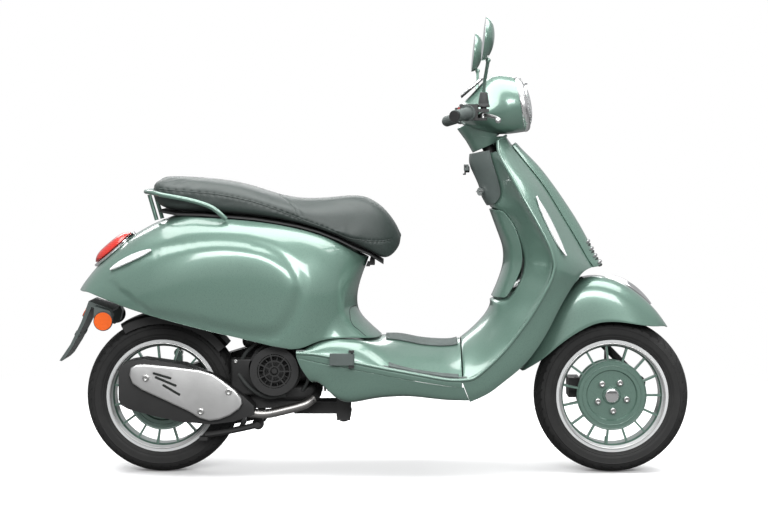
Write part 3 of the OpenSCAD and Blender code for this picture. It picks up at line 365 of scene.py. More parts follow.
pipe_metal = metal("pipe_metal", (0.34, 0.33, 0.32), 0.34, (1, 1, 1), 40.0, 0.0002, 0.4)
mirror_glass = metal("mirror_glass", (0.9, 0.92, 0.93), 0.02, scale=8.0, strength=0.01)
clear = lens("clear_lens", (0.88, 0.90, 0.90), ribs=0.007, through=0.25)
plain_glass = lens("plain_glass", (0.95, 0.97, 0.97), 0.03, ribs=0.02)
red_glass = lens("red_lens", (0.62, 0.03, 0.018), 0.08, ribs=0.006, through=0.3)
amber = lens("amber_reflector", (0.85, 0.13, 0.012), 0.15, ribs=0.004, through=0.1)
# Near-black plastic for the dark panel joints, and painted shade inside the horn-cover and muffler slots.
seam_and_slot_shade = plastic("seam_and_slot_shade", (0.012, 0.016, 0.014), 0.7)
front_rim_paint = rim_paint("front_rim_paint", AXLE_FRONT)
rear_rim_paint = rim_paint("rear_rim_paint", AXLE_REAR)
front_tread = tread("front_tread", AXLE_FRONT)
rear_tread = tread("rear_tread", AXLE_REAR)


# ---- modelling help ----------------------------------------------------------------

def alone(*pieces):
    """Selects only these pieces."""
    bpy.ops.object.select_all(action="DESELECT")
    for piece in pieces:
        piece.select_set(True)
    bpy.context.view_layer.objects.active = pieces[0]


def settle(piece, name, body, finish, smooth=40.0):
    """Names a finished piece, puts its place into its mesh, paints it and lets it ride."""
    alone(piece)
    if piece.type == "CURVE":
        bpy.ops.object.convert(target="MESH")
        piece = bpy.context.view_layer.objects.active
    bpy.ops.object.transform_apply(location=True, rotation=True, scale=True)
    bpy.ops.object.shade_smooth_by_angle(angle=math.radians(smooth))
    piece.name = name
    piece.data.name = name
    piece.data.materials.clear()
    piece.data.materials.append(finish.material)
    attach(piece, body)
    return piece


def apply_all(piece):
    alone(piece)
    for modifier in list(piece.modifiers):
        bpy.ops.object.modifier_apply(modifier=modifier.name)


def bevel(piece, width, segments=3, angle=35.0):
    made = piece.modifiers.new("bevel", "BEVEL")
    made.width = width
    made.segments = segments
    made.limit_method = "ANGLE"
    made.angle_limit = math.radians(angle)
    made.harden_normals = False
    return made


def rounder(piece, levels):
    made = piece.modifiers.new("rounder", "SUBSURF")
    made.levels = levels
    made.render_levels = levels


def node_body(node):
    return nodes[node]["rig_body"]


def copy_of(node):
    """A copy of a CAD node's mesh as a new piece, merged and turned to quads."""
    piece = bpy.data.objects.new(node + "_copy", nodes[node].data.copy())
    bpy.context.scene.collection.objects.link(piece)
    alone(piece)
    bpy.ops.object.mode_set(mode="EDIT")
    bpy.ops.mesh.select_all(action="SELECT")
    bpy.ops.mesh.remove_doubles(threshold=0.00002)
    bpy.ops.mesh.customdata_custom_splitnormals_clear()
    bpy.ops.mesh.tris_convert_to_quads(face_threshold=math.radians(55), shape_threshold=math.radians(75))
    bpy.ops.object.mode_set(mode="OBJECT")
    return piece


def panel(node, finish, levels=2, sharp=62.0, edge=0.0007, name=None):
    """Smooth painted panel in place of a CAD shell."""
    piece = copy_of(node)
    alone(piece)
    bpy.ops.object.mode_set(mode="EDIT")
    bpy.ops.mesh.select_mode(type="EDGE")
    bpy.ops.mesh.select_all(action="DESELECT")
    bpy.ops.mesh.edges_select_sharp(sharpness=math.radians(sharp))
    bpy.ops.transform.edge_crease(value=1.0)
    bpy.ops.object.mode_set(mode="OBJECT")
    rounder(piece, levels)
    if edge:
        bevel(piece, edge, 2, 50.0)
    apply_all(piece)
    piece = settle(piece, name or node + "_panel", node_body(node), finish, 50.0)
    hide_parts(node)
    return piece


def curve_points(points, steps=8):
    """Smooth curve through points, steps to a span."""
    out = []
    for i in range(len(points) - 1):
        b, c = Vector(points[i]), Vector(points[i + 1])
        a = Vector(points[i - 1]) if i else 2 * b - c
        d = Vector(points[i + 2]) if i + 2 < len(points) else 2 * c - b
        for k in range(steps):
            t = k / steps
            out.append(0.5 * (2 * b + (c - a) * t + (2 * a - 5 * b + 4 * c - d) * t * t
                              + (3 * b - a - 3 * c + d) * t ** 3))
    out.append(Vector(points[-1]))
    return out


def tube(points, radius, closed=False, sides=3, tips=None):
    """Round tube along points as a curve object; tips gives the radius share at each end."""
    data = bpy.data.curves.new("tube", "CURVE")
    data.dimensions = "3D"
    data.bevel_depth = radius
    data.bevel_resolution = sides
    data.use_fill_caps = True
    line = data.splines.new("POLY")
    line.points.add(len(points) - 1)
    for i, (spot, point) in enumerate(zip(line.points, points)):
        spot.co = (*point, 1.0)
        if tips:
            t = i / (len(points) - 1)
            spot.radius = tips(t)
    line.use_cyclic_u = closed
    made = bpy.data.objects.new("tube", data)
    bpy.context.scene.collection.objects.link(made)
    return made


def skin_of(piece):
    data = piece.data
    return BVHTree.FromPolygons([v.co.copy() for v in data.vertices],
                                [tuple(p.vertices) for p in data.polygons])


def on_skin(skin, points, way, lift=0.0):
    """Points dropped onto a skin along a direction, then lifted off it."""
    out = []
    way = Vector(way)
    for point in points:
        hit, normal, _, _ = skin.ray_cast(Vector(point) - way * 1.0, way, 2.0)
        if hit is not None:
            if normal.dot(way) > 0:
                normal = -normal
            out.append(hit + normal * lift)
    return out


def side_line(name, piece, xz, side, radius, finish, body, lift=0.0, steps=8, closed=False):
    """Line drawn on a panel's side: points are (x, z) in metres, side is -1 right or 1 left."""
    track = curve_points([(x, 0.0, z) for x, z in xz], steps)
    spots = on_skin(skin_of(piece), track, (0, -side, 0), lift)
    if len(spots) < 3:
        return None
    return settle(tube(spots, radius, closed), name, body, finish)


def pick_faces(piece, test):
    """Selects the faces whose centre and normal pass the test, in edit mode afterwards."""
    alone(piece)
    bpy.ops.object.mode_set(mode="EDIT")
    bpy.ops.mesh.select_mode(type="FACE")
    bpy.ops.mesh.select_all(action="DESELECT")
    bpy.ops.object.mode_set(mode="OBJECT")
    for face in piece.data.polygons:
        face.select = test(face.center, face.normal)
    bpy.ops.object.mode_set(mode="EDIT")


def disc(place, radius, depth, way=(0, -1, 0), sides=48):
    """Round plate standing on a place and pointing along a way."""
    turn = Vector((0, 0, 1)).rotation_difference(Vector(way))
    middle = Vector(place) + Vector(way).normalized() * depth / 2
    bpy.ops.object.select_all(action="DESELECT")
    bpy.ops.mesh.primitive_cylinder_add(vertices=sides, radius=radius, depth=depth, location=middle,
                                        rotation=turn.to_euler())
    return bpy.context.active_object


def bolt(name, place, way, radius, body, finish=None, sides=40):
    """Button head bolt with a round socket."""
    piece = disc(place, radius, radius * 0.55, way, sides)
    alone(piece)
    bpy.ops.object.transform_apply(location=False, rotation=False, scale=True)
    bpy.ops.object.mode_set(mode="EDIT")
    bpy.ops.mesh.select_mode(type="FACE")
    bpy.ops.mesh.select_all(action="DESELECT")
    bpy.ops.object.mode_set(mode="OBJECT")
    for face in piece.data.polygons:
        face.select = face.normal.z > 0.9
    bpy.ops.object.mode_set(mode="EDIT")
    bpy.ops.mesh.inset(thickness=radius * 0.28, depth=radius * 0.12)
    bpy.ops.mesh.inset(thickness=radius * 0.18, depth=0.0)
    bpy.ops.mesh.inset(thickness=radius * 0.02, depth=-radius * 0.4)
    bpy.ops.object.mode_set(mode="OBJECT")
    bevel(piece, radius * 0.08, 2, 30.0)
    apply_all(piece)
    return settle(piece, name, body, finish or steel, 30.0)


# ---- CAD nodes that keep their own shape -------------------------------------------

KEPT = {
    "frame": (chassis, 0.0015), "helmet_tub": (black_plastic, 0.002), "fuel_tank": (black_plastic, 0.004),
    "fuel_cap": (black_plastic, 0.0015), "battery": (black_plastic, 0.002), "horn": (chassis, 0.001),
    "tail_mudguard": (grey_plastic, 0.0012), "reflectors": (amber, 0.0015),
    "seat_pan": (black_plastic, 0.002), "bag_hook": (black_plastic, 0.001),
    "ignition_lock": (chrome, 0.0008), "peg_right": (grey_plastic, 0.002), "peg_left": (grey_plastic, 0.002),
    "fork": (chassis, 0.001), "headlamp_ring": (lamp_ring, 0.0004), "headlamp_lens": (plain_glass, 0.0),
    "dash": (black_plastic, 0.001), "handlebar": (cast, 0.001), "left_grip": (grip_rubber, 0.0015),
    "switch_pods": (black_plastic, 0.003), "throttle_grip": (grip_rubber, 0.0015),
    "starter_button": (black_plastic, 0.001), "kill_switch": (red_plastic, 0.001),
    "horn_button": (black_plastic, 0.001), "turn_switch": (black_plastic, 0.001),
    "front_link": (cast, 0.002), "engine_case": (cast, 0.002), "fan_cover": (black_plastic, 0.0012),
    "cooling_fan": (black_plastic, 0.0005), "front_rim": (front_rim_paint, 0.0012),
    "rear_rim": (rear_rim_paint, 0.0012), "front_tyre": (front_tread, 0.0), "rear_tyre": (rear_tread, 0.0),
    "rear_hugger": (black_plastic, 0.001), "rear_shock_body": (chassis, 0.0008),
    "rear_shock_rod": (chrome, 0.0006), "centre_stand": (chassis, 0.001),
}


def dress_kept():
    for node, (finish, edge) in KEPT.items():
        piece = nodes[node]
        for slot in piece.material_slots:
            slot.material = finish.material
        if edge:
            bevel(piece, edge, 2, 40.0)


# ---- body --------------------------------------------------------------------------

# Edge of the raised side, as (x, z), from low at the back round the front to high at the back
BULGE = [(-0.640, 0.492), (-0.520, 0.470), (-0.430, 0.452), (-0.345, 0.437), (-0.290, 0.441), (-0.262, 0.466),
         (-0.240, 0.505), (-0.226, 0.550), (-0.232, 0.592), (-0.262, 0.632), (-0.305, 0.660), (-0.370, 0.680),
         (-0.440, 0.686), (-0.520, 0.680), (-0.610, 0.662), (-0.690, 0.634), (-0.780, 0.585)]


def raise_sides(piece):
    """Lifts the flank inside the bulge edge with a soft shoulder, and rolls the edge outside it in."""
    edge = [(p.x, p.z) for p in curve_points([(x, 0, z) for x, z in BULGE], 6)]
    for v in piece.data.vertices:
        if abs(v.co.y) < 0.11 or v.co.x > -0.1 or v.co.x < -0.86 or abs(v.normal.y) < 0.3:
            continue
        x, z = v.co.x, v.co.z
        near = min((x - a) ** 2 + (z - b) ** 2 for a, b in edge) ** 0.5
        inside = False
        for (x0, z0), (x1, z1) in zip(edge, edge[1:] + edge[:1]):
            if (z0 > z) != (z1 > z) and x < (x1 - x0) * (z - z0) / (z1 - z0) + x0:
                inside = not inside
        signed = near if inside else -near
        t = max(0.0, min(1.0, signed / 0.034 + 0.35))
        fade = max(0.0, min(1.0, (x + 0.84) / 0.2))
        side = 1 if v.co.y > 0 else -1
        rise = 0.0060 * t * t * (3 - 2 * t)
        roll = 0.0028 * math.exp(-((signed + 0.016) / 0.012) ** 2)
        v.co.y += side * fade * (rise - roll)


def body_panels():
    made = {}
    for node in ("rear_body", "floor_board", "leg_shield", "inner_shield", "side_skirts", "glove_door",
                 "front_fender", "headset"):
        made[node] = panel(node, green)
    raise_sides(made["rear_body"])
    made["horn_cover"] = panel("horn_cover", green, sharp=75)
    made["column_cover"] = panel("column_cover", grey_plastic)
    made["floor_mats"] = panel("floor_mats", mat_rubber, 1)
    made["indicators"] = panel("indicators", clear, 2)
    made["tail_lamp"] = panel("tail_lamp", chrome, 2)
    made["tail_lens"] = panel("tail_lens", red_glass, 2)
    made["grab_rail"] = panel("grab_rail", green, 2, edge=0.0)
    made["mirror_stems"] = panel("mirror_stems", green, 1, edge=0.0)
    for hand in ("right", "left"):
        made["brake_lever_" + hand] = panel("brake_lever_" + hand, satin, 1, 50, 0.0)
        made["mirror_" + hand] = panel("mirror_" + hand, green, 1, 50, 0.0)
    return made


# Edge of the shield and footboard on the left side, from the top of the shield to the rear of the board
EDGE = [(0.362, 0.075, 0.984), (0.364, 0.101, 0.952), (0.384, 0.147, 0.907), (0.413, 0.177, 0.851),
        (0.441, 0.195, 0.800), (0.473, 0.207, 0.741), (0.503, 0.213, 0.680), (0.516, 0.216, 0.631),
        (0.513, 0.217, 0.606), (0.505, 0.217, 0.582), (0.489, 0.216, 0.551), (0.469, 0.214, 0.515),
        (0.442, 0.211, 0.471), (0.412, 0.208, 0.430), (0.384, 0.206, 0.394), (0.352, 0.205, 0.359),
        (0.322, 0.204, 0.331), (0.297, 0.203, 0.310), (0.274, 0.203, 0.299), (0.225, 0.204, 0.297),
        (0.185, 0.205, 0.302), (0.130, 0.205, 0.312), (0.075, 0.205, 0.322), (0.025, 0.204, 0.331),
        (-0.035, 0.203, 0.343), (-0.100, 0.203, 0.357), (-0.165, 0.202, 0.370), (-0.225, 0.199, 0.374)]


def edge_beads():
    for side, hand in ((1, "left"), (-1, "right")):
        line = curve_points([(x, y * side, z) for x, y, z in EDGE], 6)
        settle(tube(line, 0.0052, sides=4), "edge_bead_" + hand, "chassis", green)
        strip = [(x, (y - 0.011) * side, z + 0.003) for x, y, z in EDGE[13:]]
        settle(tube(curve_points(strip, 6), 0.0058, sides=4), "edge_strip_" + hand, "chassis",
               mat_rubber)
    top = curve_points([(0.362, 0.075, 0.984), (0.366, 0.062, 0.989), (0.377, 0.050, 0.993),
                        (0.387, 0.030, 0.998), (0.391, 0.0, 1.001), (0.387, -0.030, 0.998),
                        (0.377, -0.050, 0.993), (0.366, -0.062, 0.989), (0.362, -0.075, 0.984)], 5)
    settle(tube(top, 0.004, sides=4), "edge_bead_top", "chassis", green)


def body_seams(made):
    body = made["rear_body"]
    for side, hand in ((1, "left"), (-1, "right")):
        lower = [(-0.845, 0.522), (-0.780, 0.502), (-0.700, 0.480), (-0.620, 0.462), (-0.520, 0.440),
                 (-0.420, 0.418), (-0.320, 0.398), (-0.250, 0.386)]
        side_line("flange_line_" + hand, body, lower, side, 0.0010, seam_and_slot_shade, "chassis")
        door = [(-0.052, 0.498), (-0.072, 0.494), (-0.072, 0.468), (-0.064, 0.448), (-0.046, 0.432),
                (-0.026, 0.414)]
        side_line("access_seam_" + hand, body, door, side, 0.0010, seam_and_slot_shade, "chassis")


def chrome_bars(made):
    """Four bright bars across the foot of the horn cover, each over a dark strip of painted shade for its
    slot.
    """
    skin = skin_of(made["horn_cover"])
    for i, (z, half) in enumerate(((0.687, 0.036), (0.666, 0.038), (0.645, 0.039), (0.626, 0.038))):
        across = [(0.0, half * (k / 8 - 1), z - 0.004 * (k / 8 - 1) ** 2) for k in range(17)]
        spots = on_skin(skin, across, (-1, 0, 0), 0.0012)
        if len(spots) < 5:
            continue
        bar = tube(spots, 0.0042, sides=4, tips=lambda t: 0.45 + 0.55 * min(1, 6 * t, 6 * (1 - t)))
        settle(bar, "cover_bar_%d" % (i + 1), "chassis", chrome)
        # Near-black strip just below each bar: painted shade where the slot under the bar lies in shadow.
        low = on_skin(skin, [(0.0, y * 0.94, zz - 0.009) for _, y, zz in across], (-1, 0, 0), -0.001)
        slot = tube(low, 0.0034, sides=3, tips=lambda t: 0.4 + 0.6 * min(1, 6 * t, 6 * (1 - t)))
        settle(slot, "cover_slot_shade_%d" % (i + 1), "chassis", seam_and_slot_shade)


def fender_crest(made):
    """Bright spear along the crown of the front mudguard."""
    skin = skin_of(made["front_fender"])
    track = [(0.688 + 0.134 * k / 24, 0.0, 0.0) for k in range(25)]
    spots = on_skin(skin, track, (0, 0, -1), 0.001)
    if len(spots) < 5:
        return
    crest = tube(spots, 0.013, sides=5,
                 tips=lambda t: 0.12 + 0.88 * math.sin(math.pi * min(1, t * 0.9 + 0.06)) ** 0.7)
    alone(crest)
    bpy.ops.object.convert(target="MESH")
    crest = bpy.context.view_layer.objects.active
    for v in crest.data.vertices:
        v.co.y *= 0.85
    settle(crest, "fender_crest", "steering", chrome)


# ---- seat --------------------------------------------------------------------------

def add_seat():
    piece = copy_of("seat_cushion")
    rounder(piece, 2)
    apply_all(piece)
    for v in piece.data.vertices:
        v.co = v.co - v.normal * 0.0035
    remesh = piece.modifiers.new("remesh", "REMESH")
    remesh.mode = "VOXEL"
    remesh.voxel_size = 0.0065
    apply_all(piece)
    before = [v.co.copy() for v in piece.data.vertices]
    cloth = piece.modifiers.new("cloth", "CLOTH")
    rule = cloth.settings
    rule.quality = 4
    rule.mass = 0.3
    rule.tension_stiffness = 20
    rule.compression_stiffness = 20
    rule.bending_stiffness = 2
    rule.use_pressure = True
    rule.uniform_pressure_force = 4.0
    rule.effector_weights.gravity = 0.0
    held = piece.vertex_groups.new(name="held")
    for v in piece.data.vertices:
        if v.normal.z < -0.6:
            held.add([v.index], 1.0, "REPLACE")
    rule.vertex_group_mass = "held"
    cloth.point_cache.frame_start = 1
    cloth.point_cache.frame_end = 20
    scene = bpy.context.scene
    for step in range(1, 21):
        scene.frame_set(step)
    swollen = piece.evaluated_get(bpy.context.evaluated_depsgraph_get())
    after = [v.co.copy() for v in swollen.data.vertices]
    piece.modifiers.clear()
    for v, a, b in zip(piece.data.vertices, before, after):
        move = b - a
        if move.length > SWELL_LIMIT:
            move = move.normalized() * SWELL_LIMIT
        v.co = a + move
    scene.frame_set(1)
    smooth = piece.modifiers.new("smooth", "SMOOTH")
    smooth.factor = 0.5
    smooth.iterations = 6
    rounder(piece, 1)
    apply_all(piece)
    press_seams(piece)
    piece = settle(piece, "seat_cover", "seat", hide, 180.0)
    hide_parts("seat_cushion")
    return piece


# Crease along the side of the seat and the seam behind the rider, as (x, z)
CREASE = [(-0.652, 0.846), (-0.560, 0.838), (-0.470, 0.830), (-0.400, 0.818), (-0.330, 0.800),
          (-0.255, 0.772), (-0.200, 0.750), (-0.140, 0.728), (-0.080, 0.702), (-0.040, 0.694),
          (0.010, 0.690), (0.050, 0.694)]


def press_seams(piece):
    """Presses the sewn lines into the cushion."""
    line = curve_points([(x, 0, z) for x, z in CREASE], 4)
    for v in piece.data.vertices:
        if abs(v.co.y) > 0.02:
            near = min((v.co.x - p.x) ** 2 + (v.co.z - p.z) ** 2 for p in line) ** 0.5
            if near < 0.014:
                v.co = v.co - v.normal * 0.0028 * math.exp(-(near / 0.0045) ** 2)
        top = v.normal.z
        if top > 0.2:
            bend = -0.287 + 0.9 * v.co.y ** 2 * 4 + (v.co.z - 0.82) * -0.25
            away = abs(v.co.x - bend)
            if away < 0.02:
                v.co = v.co - v.normal * 0.003 * math.exp(-(away / 0.005) ** 2)


def seat_trim(seat):
    skin = skin_of(seat)
    for side, hand in ((1, "left"), (-1, "right")):
        track = curve_points([(x, 0.0, z) for x, z in CREASE], 8)
        spots = on_skin(skin, track, (0, -side, 0), 0.0002)
        settle(tube(spots, 0.0016, sides=3), "seat_piping_" + hand, "seat", hide)
    across = []
    for k in range(41):
        y = 0.145 * (k / 20 - 1)
        hit = skin.ray_cast(Vector((-0.287 + 3.6 * y * y, y, 1.2)), Vector((0, 0, -1)), 1.0)
        if hit[0] is not None and hit[0].z > 0.72:
            across.append(hit[0] + hit[1] * 0.0002)
    if len(across) > 5:
        settle(tube(across, 0.0017, sides=3), "seat_cross_piping", "seat", hide)


# ---- wheels ------------------------------------------------------------------------

def wheel_trim(tag, axle, body):
    x, _, z = axle
    for i in range(5):
        turn = math.radians(i * 72 + 14)
        spot = (x + WHEEL_BOLT_R * math.cos(turn), -0.0384, z - WHEEL_BOLT_R * math.sin(turn))
        bolt("%s_wheel_bolt_%d" % (tag, i + 1), spot, (0, -1, 0), 0.0088, body)
    cap = disc((x, -0.0345, z), 0.021, 0.009, (0, -1, 0), 64)
    bevel(cap, 0.004, 4, 30.0)
    apply_all(cap)
    settle(cap, tag + "_hub_cap", body, chrome)
    groove = [(x + 0.0875 * math.cos(a), -0.0364, z + 0.0875 * math.sin(a))
              for a in (2 * math.pi * k / 96 for k in range(96))]
    settle(tube(groove, 0.0012, True), tag + "_hub_ring", body, green)
    bead = [(x + 0.1555 * math.cos(a), -0.0476, z + 0.1555 * math.sin(a))
            for a in (2 * math.pi * k / 128 for k in range(128))]
    lip = tube(bead, 0.0024, True, 4)
    settle(lip, tag + "_rim_lip", body, satin)


# ---- engine side -------------------------------------------------------------------

def muffler():
    piece = copy_of("muffler_shield")
    bevel(piece, 0.011, 6, 60.0)
    apply_all(piece)
    slots = (((-0.640, 0.3105), (-0.592, 0.2965)), ((-0.634, 0.2990), (-0.577, 0.2750)),
             ((-0.612, 0.2760), (-0.566, 0.2490)))
    for i, (a, b) in enumerate(slots):
        a, b = Vector((a[0], -0.160, a[1])), Vector((b[0], -0.160, b[1]))
        way = (b - a).normalized()
        up = way.cross(Vector((0, 1, 0)))
        outline = [a + (SLOT_HALF * (math.cos(t) * -way + math.sin(t) * up)) for t in
                   (math.pi * (k / 8 - 0.5) for k in range(9))]
        outline += [b + (SLOT_HALF * (math.cos(t) * way - math.sin(t) * up)) for t in
                    (math.pi * (k / 8 - 0.5) for k in range(9))]
        mesh = bpy.data.meshes.new("slot")
        near = [tuple(p + Vector((0, -0.012, 0))) for p in outline]
        far = [tuple(p + Vector((0, 0.006, 0))) for p in outline]
        n = len(outline)
        faces = [tuple(range(n)), tuple(range(2 * n - 1, n - 1, -1))]
        faces += [(k, n + k, n + (k + 1) % n, (k + 1) % n) for k in range(n)]
        mesh.from_pydata(near + far, [], faces)
        cutter = bpy.data.objects.new("slot_cutter", mesh)
        bpy.context.scene.collection.objects.link(cutter)
        alone(cutter)
        bpy.ops.object.mode_set(mode="EDIT")
        bpy.ops.mesh.select_all(action="SELECT")
        bpy.ops.mesh.normals_make_consistent(inside=False)
        bpy.ops.object.mode_set(mode="OBJECT")
        cut = piece.modifiers.new("slot", "BOOLEAN")
        cut.object = cutter
        cut.operation = "DIFFERENCE"
        cut.solver = "EXACT"
        apply_all(piece)
        bpy.data.objects.remove(cutter)
        # Near-black plug just behind each cut slot: painted shade for the dark seen through the slot.
        behind = Vector((0, 0.0035, 0))
        plug = tube([a + way * -0.002 + behind, b + way * 0.002 + behind], 0.0034)
        settle(plug, "muffler_slot_shade_%d" % (i + 1), "engine", seam_and_slot_shade)
    piece = settle(piece, "muffler_cover", "engine", satin, 35.0)
    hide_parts("muffler_shield")
    for i, (x, z) in enumerate(((-0.663, 0.297), (-0.4226, 0.258), (-0.5037, 0.200))):
        bolt("muffler_bolt_%d" % (i + 1), (x, -0.1632, z), (0, -1, 0), 0.0095, "engine")
    can = copy_of("exhaust")
    bevel(can, 0.016, 5, 60.0)
    apply_all(can)
    can = settle(can, "exhaust_can", "engine", chassis, 35.0)
    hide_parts("exhaust")
    pipe = curve_points([(-0.180, -0.094, 0.229), (-0.208, -0.108, 0.212), (-0.260, -0.112, 0.198),
                         (-0.318, -0.112, 0.186), (-0.368, -0.112, 0.189)], 8)
    settle(tube(pipe, 0.0136, sides=6), "header_pipe", "engine", pipe_metal)


def engine_dress():
    """Cowling, hoses and cooling bolts round the crankcase."""
    for name, place, size, finish in (
            ("cylinder_cowl", (-0.235, -0.040, 0.330), (0.150, 0.118, 0.110), black_plastic),
            ("intake_box", (-0.330, 0.010, 0.400), (0.130, 0.120, 0.062), black_plastic),
            ("crankcase_cover", (-0.380, -0.088, 0.292), (0.088, 0.024, 0.110), cast),
            ("lower_sump", (-0.235, -0.050, 0.244), (0.130, 0.080, 0.048), cast)):
        bpy.ops.object.select_all(action="DESELECT")
        bpy.ops.mesh.primitive_cube_add(size=1.0, location=place)
        box = bpy.context.active_object
        box.scale = size
        alone(box)
        bpy.ops.object.transform_apply(location=False, rotation=False, scale=True)
        bevel(box, min(size) * 0.32, 5, 30.0)
        apply_all(box)
        settle(box, name, "engine", finish)
    hoses = (
        (0.0065, [(-0.400, -0.095, 0.300), (-0.365, -0.112, 0.262),
                  (-0.318, -0.110, 0.236), (-0.262, -0.104, 0.240)]),
        (0.0055, [(-0.395, -0.090, 0.335), (-0.370, -0.106, 0.372),
                  (-0.322, -0.100, 0.402), (-0.262, -0.090, 0.392)]),
        (0.0050, [(-0.228, -0.100, 0.372), (-0.204, -0.104, 0.330),
                  (-0.196, -0.100, 0.286), (-0.212, -0.094, 0.252)]))
    for i, (radius, way) in enumerate(hoses):
        settle(tube(curve_points(way, 8), radius, sides=4), "engine_hose_%d" % (i + 1), "engine",
               plain_rubber)
    for i, (x, z) in enumerate(((-0.408, 0.338), (-0.352, 0.338), (-0.408, 0.250), (-0.352, 0.250))):
        bolt("crankcase_bolt_%d" % (i + 1), (x, -0.1002, z), (0, -1, 0), 0.0052, "engine", steel, 24)


def add_spring():
    turns = 6.5
    low, high = 0.022, 0.212
    side = Vector((0, 1, 0))
    other = SHOCK_WAY.cross(side)
    spots = []
    for k in range(int(turns * 20) + 1):
        t = k / (turns * 20)
        a = 2 * math.pi * turns * t
        spots.append(SHOCK_FOOT + SHOCK_WAY * (low + (high - low) * t)
                     + 0.0275 * (math.cos(a) * side + math.sin(a) * other))
    spring = settle(tube(spots, 0.0042, sides=3), "rear_spring", "chassis", chassis)
    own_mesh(spring)


# ---- headlamp, dials and mirrors ---------------------------------------------------

def headlamp():
    way = Vector((math.cos(math.radians(11.2)), 0, -math.sin(math.radians(11.2))))
    middle = Vector((0.4286, 0, 1.0955))
    bpy.ops.object.select_all(action="DESELECT")
    bpy.ops.mesh.primitive_uv_sphere_add(segments=64, ring_count=24, radius=0.071)
    bowl = bpy.context.active_object
    pick_faces(bowl, lambda c, n: c.z > 0.002)
    bpy.ops.mesh.delete(type="FACE")
    bpy.ops.object.mode_set(mode="OBJECT")
    bowl.scale = (1, 1, 0.42)
    bowl.rotation_euler = Vector((0, 0, 1)).rotation_difference(way).to_euler()
    bowl.location = middle + way * 0.012
    thick = bowl.modifiers.new("wall", "SOLIDIFY")
    thick.thickness = 0.0012
    apply_all(bowl)
    settle(bowl, "lamp_bowl", "steering", chrome)
    bulb = disc(middle - way * 0.012, 0.016, 0.022, way, 40)
    bevel(bulb, 0.005, 4, 30.0)
    apply_all(bulb)
    settle(bulb, "lamp_bulb", "steering", clear)


def cone(place, way, radius, tip, depth, sides=56):
    """Tapered round piece from a place along a way."""
    way = Vector(way).normalized()
    turn = Vector((0, 0, 1)).rotation_difference(way)
    bpy.ops.object.select_all(action="DESELECT")
    bpy.ops.mesh.primitive_cone_add(vertices=sides, radius1=radius, radius2=tip, depth=depth,
                                    location=Vector(place) + way * depth / 2, rotation=turn.to_euler())
    return bpy.context.active_object


def steering_neck():
    """Painted neck between the headset and the column, round the steering axis."""
    tilt = math.radians(24.5)
    way = Vector((-math.sin(tilt), 0, math.cos(tilt)))
    neck = cone(Vector((0.337, 0, 0.968)) + way * 0.018, way, 0.047, 0.062, 0.070, 72)
    bevel(neck, 0.004, 4, 30.0)
    apply_all(neck)
    settle(neck, "steering_neck", "steering", green)
    for side, hand in ((1, "left"), (-1, "right")):
        for i, (low, wide, narrow, tall) in enumerate(((1.0810, 0.0185, 0.0165, 0.010),
                                                       (1.0905, 0.0160, 0.0105, 0.034))):
            boot = cone((0.314, 0.196 * side, low), (0.01, 0.12 * side * i, 1), wide, narrow, tall, 48)
            bevel(boot, 0.0022, 3, 30.0)
            apply_all(boot)
            settle(boot, "mirror_boot_%s_%d" % (hand, i + 1), "steering", plain_rubber)
    plate = disc((0.282, 0, 0.9005), 0.011, 0.014, (-1, 0, 0), 6)
    plate.scale = (1, 1.4, 1)
    bevel(plate, 0.002, 3, 30.0)
    apply_all(plate)
    settle(plate, "hook_plate", "chassis", black_plastic)


def mirrors():
    turn = Matrix.Rotation(math.radians(96), 4, "Y")
    for side, hand in ((1, "left"), (-1, "right")):
        back = turn.to_3x3() @ Vector((0, 0, -1))
        place = Vector((0.308, 0.312 * side, 1.270)) + back * -0.0015
        glass = disc(place, 0.0572, 0.0016, tuple(back), 72)
        bevel(glass, 0.0006, 2, 30.0)
        apply_all(glass)
        settle(glass, "mirror_glass_" + hand, "mirror_" + hand, mirror_glass)


def dials():
    way = Vector((-math.sin(math.radians(41)), 0, math.cos(math.radians(41))))
    middle = Vector((0.293, 0, 1.141)) + way * 0.007
    up = Vector((math.cos(math.radians(41)), 0, math.sin(math.radians(41))))
    side = Vector((0, 1, 0))
    ring = [middle + 0.0405 * (math.cos(a) * up + math.sin(a) * side)
            for a in (2 * math.pi * k / 64 for k in range(64))]
    settle(tube(ring, 0.0026, True, 4), "dial_ring", "steering", chrome)
    for k in range(11):
        a = math.radians(-130 + 26 * k)
        line = [middle + way * 0.0004 + r * (math.cos(a) * up + math.sin(a) * side) for r in (0.029, 0.035)]
        settle(tube(line, 0.0007), "dial_tick_%d" % (k + 1), "steering", clear)
    a = math.radians(-120)
    needle = [middle + way * 0.0012 + r * (math.cos(a) * up + math.sin(a) * side) for r in (-0.006, 0.028)]
    settle(tube(needle, 0.0009), "dial_needle", "steering", red_plastic)
    glass = disc(middle + way * 0.003, 0.0395, 0.0014, tuple(way), 64)
    settle(glass, "dial_glass", "steering", plain_glass)


def reflector_backs():
    """Black cups behind the side reflectors."""
    for side, hand in ((1, "left"), (-1, "right")):
        cup = disc((-0.795, 0.1145 * side, 0.457), 0.0285, 0.0045, (0, side, 0), 56)
        bevel(cup, 0.0012, 2, 30.0)
        apply_all(cup)
        settle(cup, "reflector_cup_" + hand, "chassis", black_plastic)


# ---- stage and light ---------------------------------------------------------------

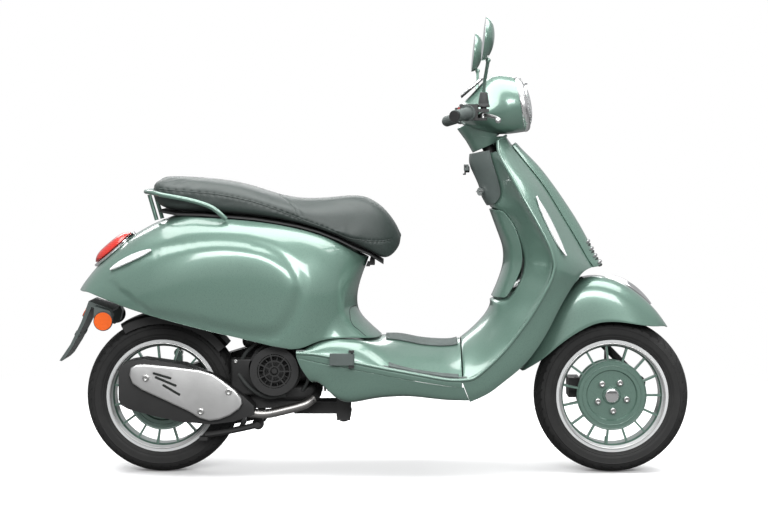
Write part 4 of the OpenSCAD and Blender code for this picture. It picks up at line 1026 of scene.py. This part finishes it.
def studio():
    bpy.ops.object.select_all(action="DESELECT")
    bpy.ops.mesh.primitive_plane_add(size=2.0)
    floor = bpy.context.active_object
    floor.scale = (60, 60, 1)
    alone(floor)
    bpy.ops.object.transform_apply(scale=True)
    made = Finish("stage_white", (0.93, 0.93, 0.93), 0.9)
    x, y, z = made.axes()
    far = (x * x + y * y).sum("SQRT").between(1.1, 2.6)
    made.set("Base Color", made.mix(far, (0.9, 0.9, 0.9), (0.0, 0.0, 0.0)))
    made.set("Emission Color", made.mix(far, (0.1, 0.1, 0.1), (1.0, 1.0, 1.0)))
    made.set("Emission Strength", 1.0)
    made.set("Specular IOR Level", 0.0)
    dull = made.tree.nodes.new("ShaderNodeBsdfDiffuse")
    dull.inputs[0].default_value = (0.16, 0.16, 0.16, 1.0)
    watched = made.node("ShaderNodeLightPath")
    shown = made.tree.nodes.new("ShaderNodeMixShader")
    made.tree.links.new(watched.socket, shown.inputs[0])
    made.tree.links.new(dull.outputs[0], shown.inputs[1])
    made.tree.links.new(made.shader.outputs[0], shown.inputs[2])
    made.tree.links.new(shown.outputs[0], made.tree.nodes["Material Output"].inputs[0])
    floor.data.materials.append(made.material)
    floor.name = "studio_floor"
    world = bpy.data.worlds.new("studio_world")
    world.use_nodes = True
    tree = world.node_tree
    soft = tree.nodes["Background"]
    soft.inputs[0].default_value = (0.97, 0.985, 1.0, 1.0)
    soft.inputs[1].default_value = 0.5
    white = tree.nodes.new("ShaderNodeBackground")
    white.inputs[1].default_value = 1.0
    white.inputs[0].default_value = (1.0, 1.0, 1.0, 1.0)
    seen = tree.nodes.new("ShaderNodeLightPath")
    either = tree.nodes.new("ShaderNodeMixShader")
    tree.links.new(seen.outputs["Is Camera Ray"], either.inputs[0])
    tree.links.new(soft.outputs[0], either.inputs[1])
    tree.links.new(white.outputs[0], either.inputs[2])
    tree.links.new(either.outputs[0], tree.nodes["World Output"].inputs[0])
    bpy.context.scene.world = world
    for name, place, aim, size, power in (
            ("top_light", (0.0, -0.3, 2.9), (0.0, -0.1, 0.4), (5.0, 2.2), 210),
            ("key_light", (0.3, -4.4, 2.4), (0.0, 0.0, 0.55), (4.8, 1.3), 230),
            ("back_light", (-0.5, 3.2, 2.4), (0.0, 0.0, 0.7), (4.0, 1.0), 60)):
        data = bpy.data.lights.new(name, "AREA")
        data.shape = "RECTANGLE"
        data.size, data.size_y = size
        data.energy = power
        light = bpy.data.objects.new(name, data)
        bpy.context.scene.collection.objects.link(light)
        light.location = place
        light.rotation_euler = (Vector(aim) - Vector(place)).to_track_quat("-Z", "Y").to_euler()
    bpy.context.scene.view_settings.view_transform = "Standard"


dress_kept()
panels = body_panels()
edge_beads()
body_seams(panels)
chrome_bars(panels)
fender_crest(panels)
seat = add_seat()
seat_trim(seat)
wheel_trim("front", AXLE_FRONT, "front_wheel")
wheel_trim("rear", AXLE_REAR, "rear_wheel")
muffler()
engine_dress()
add_spring()
headlamp()
steering_neck()
mirrors()
dials()
reflector_backs()
studio()
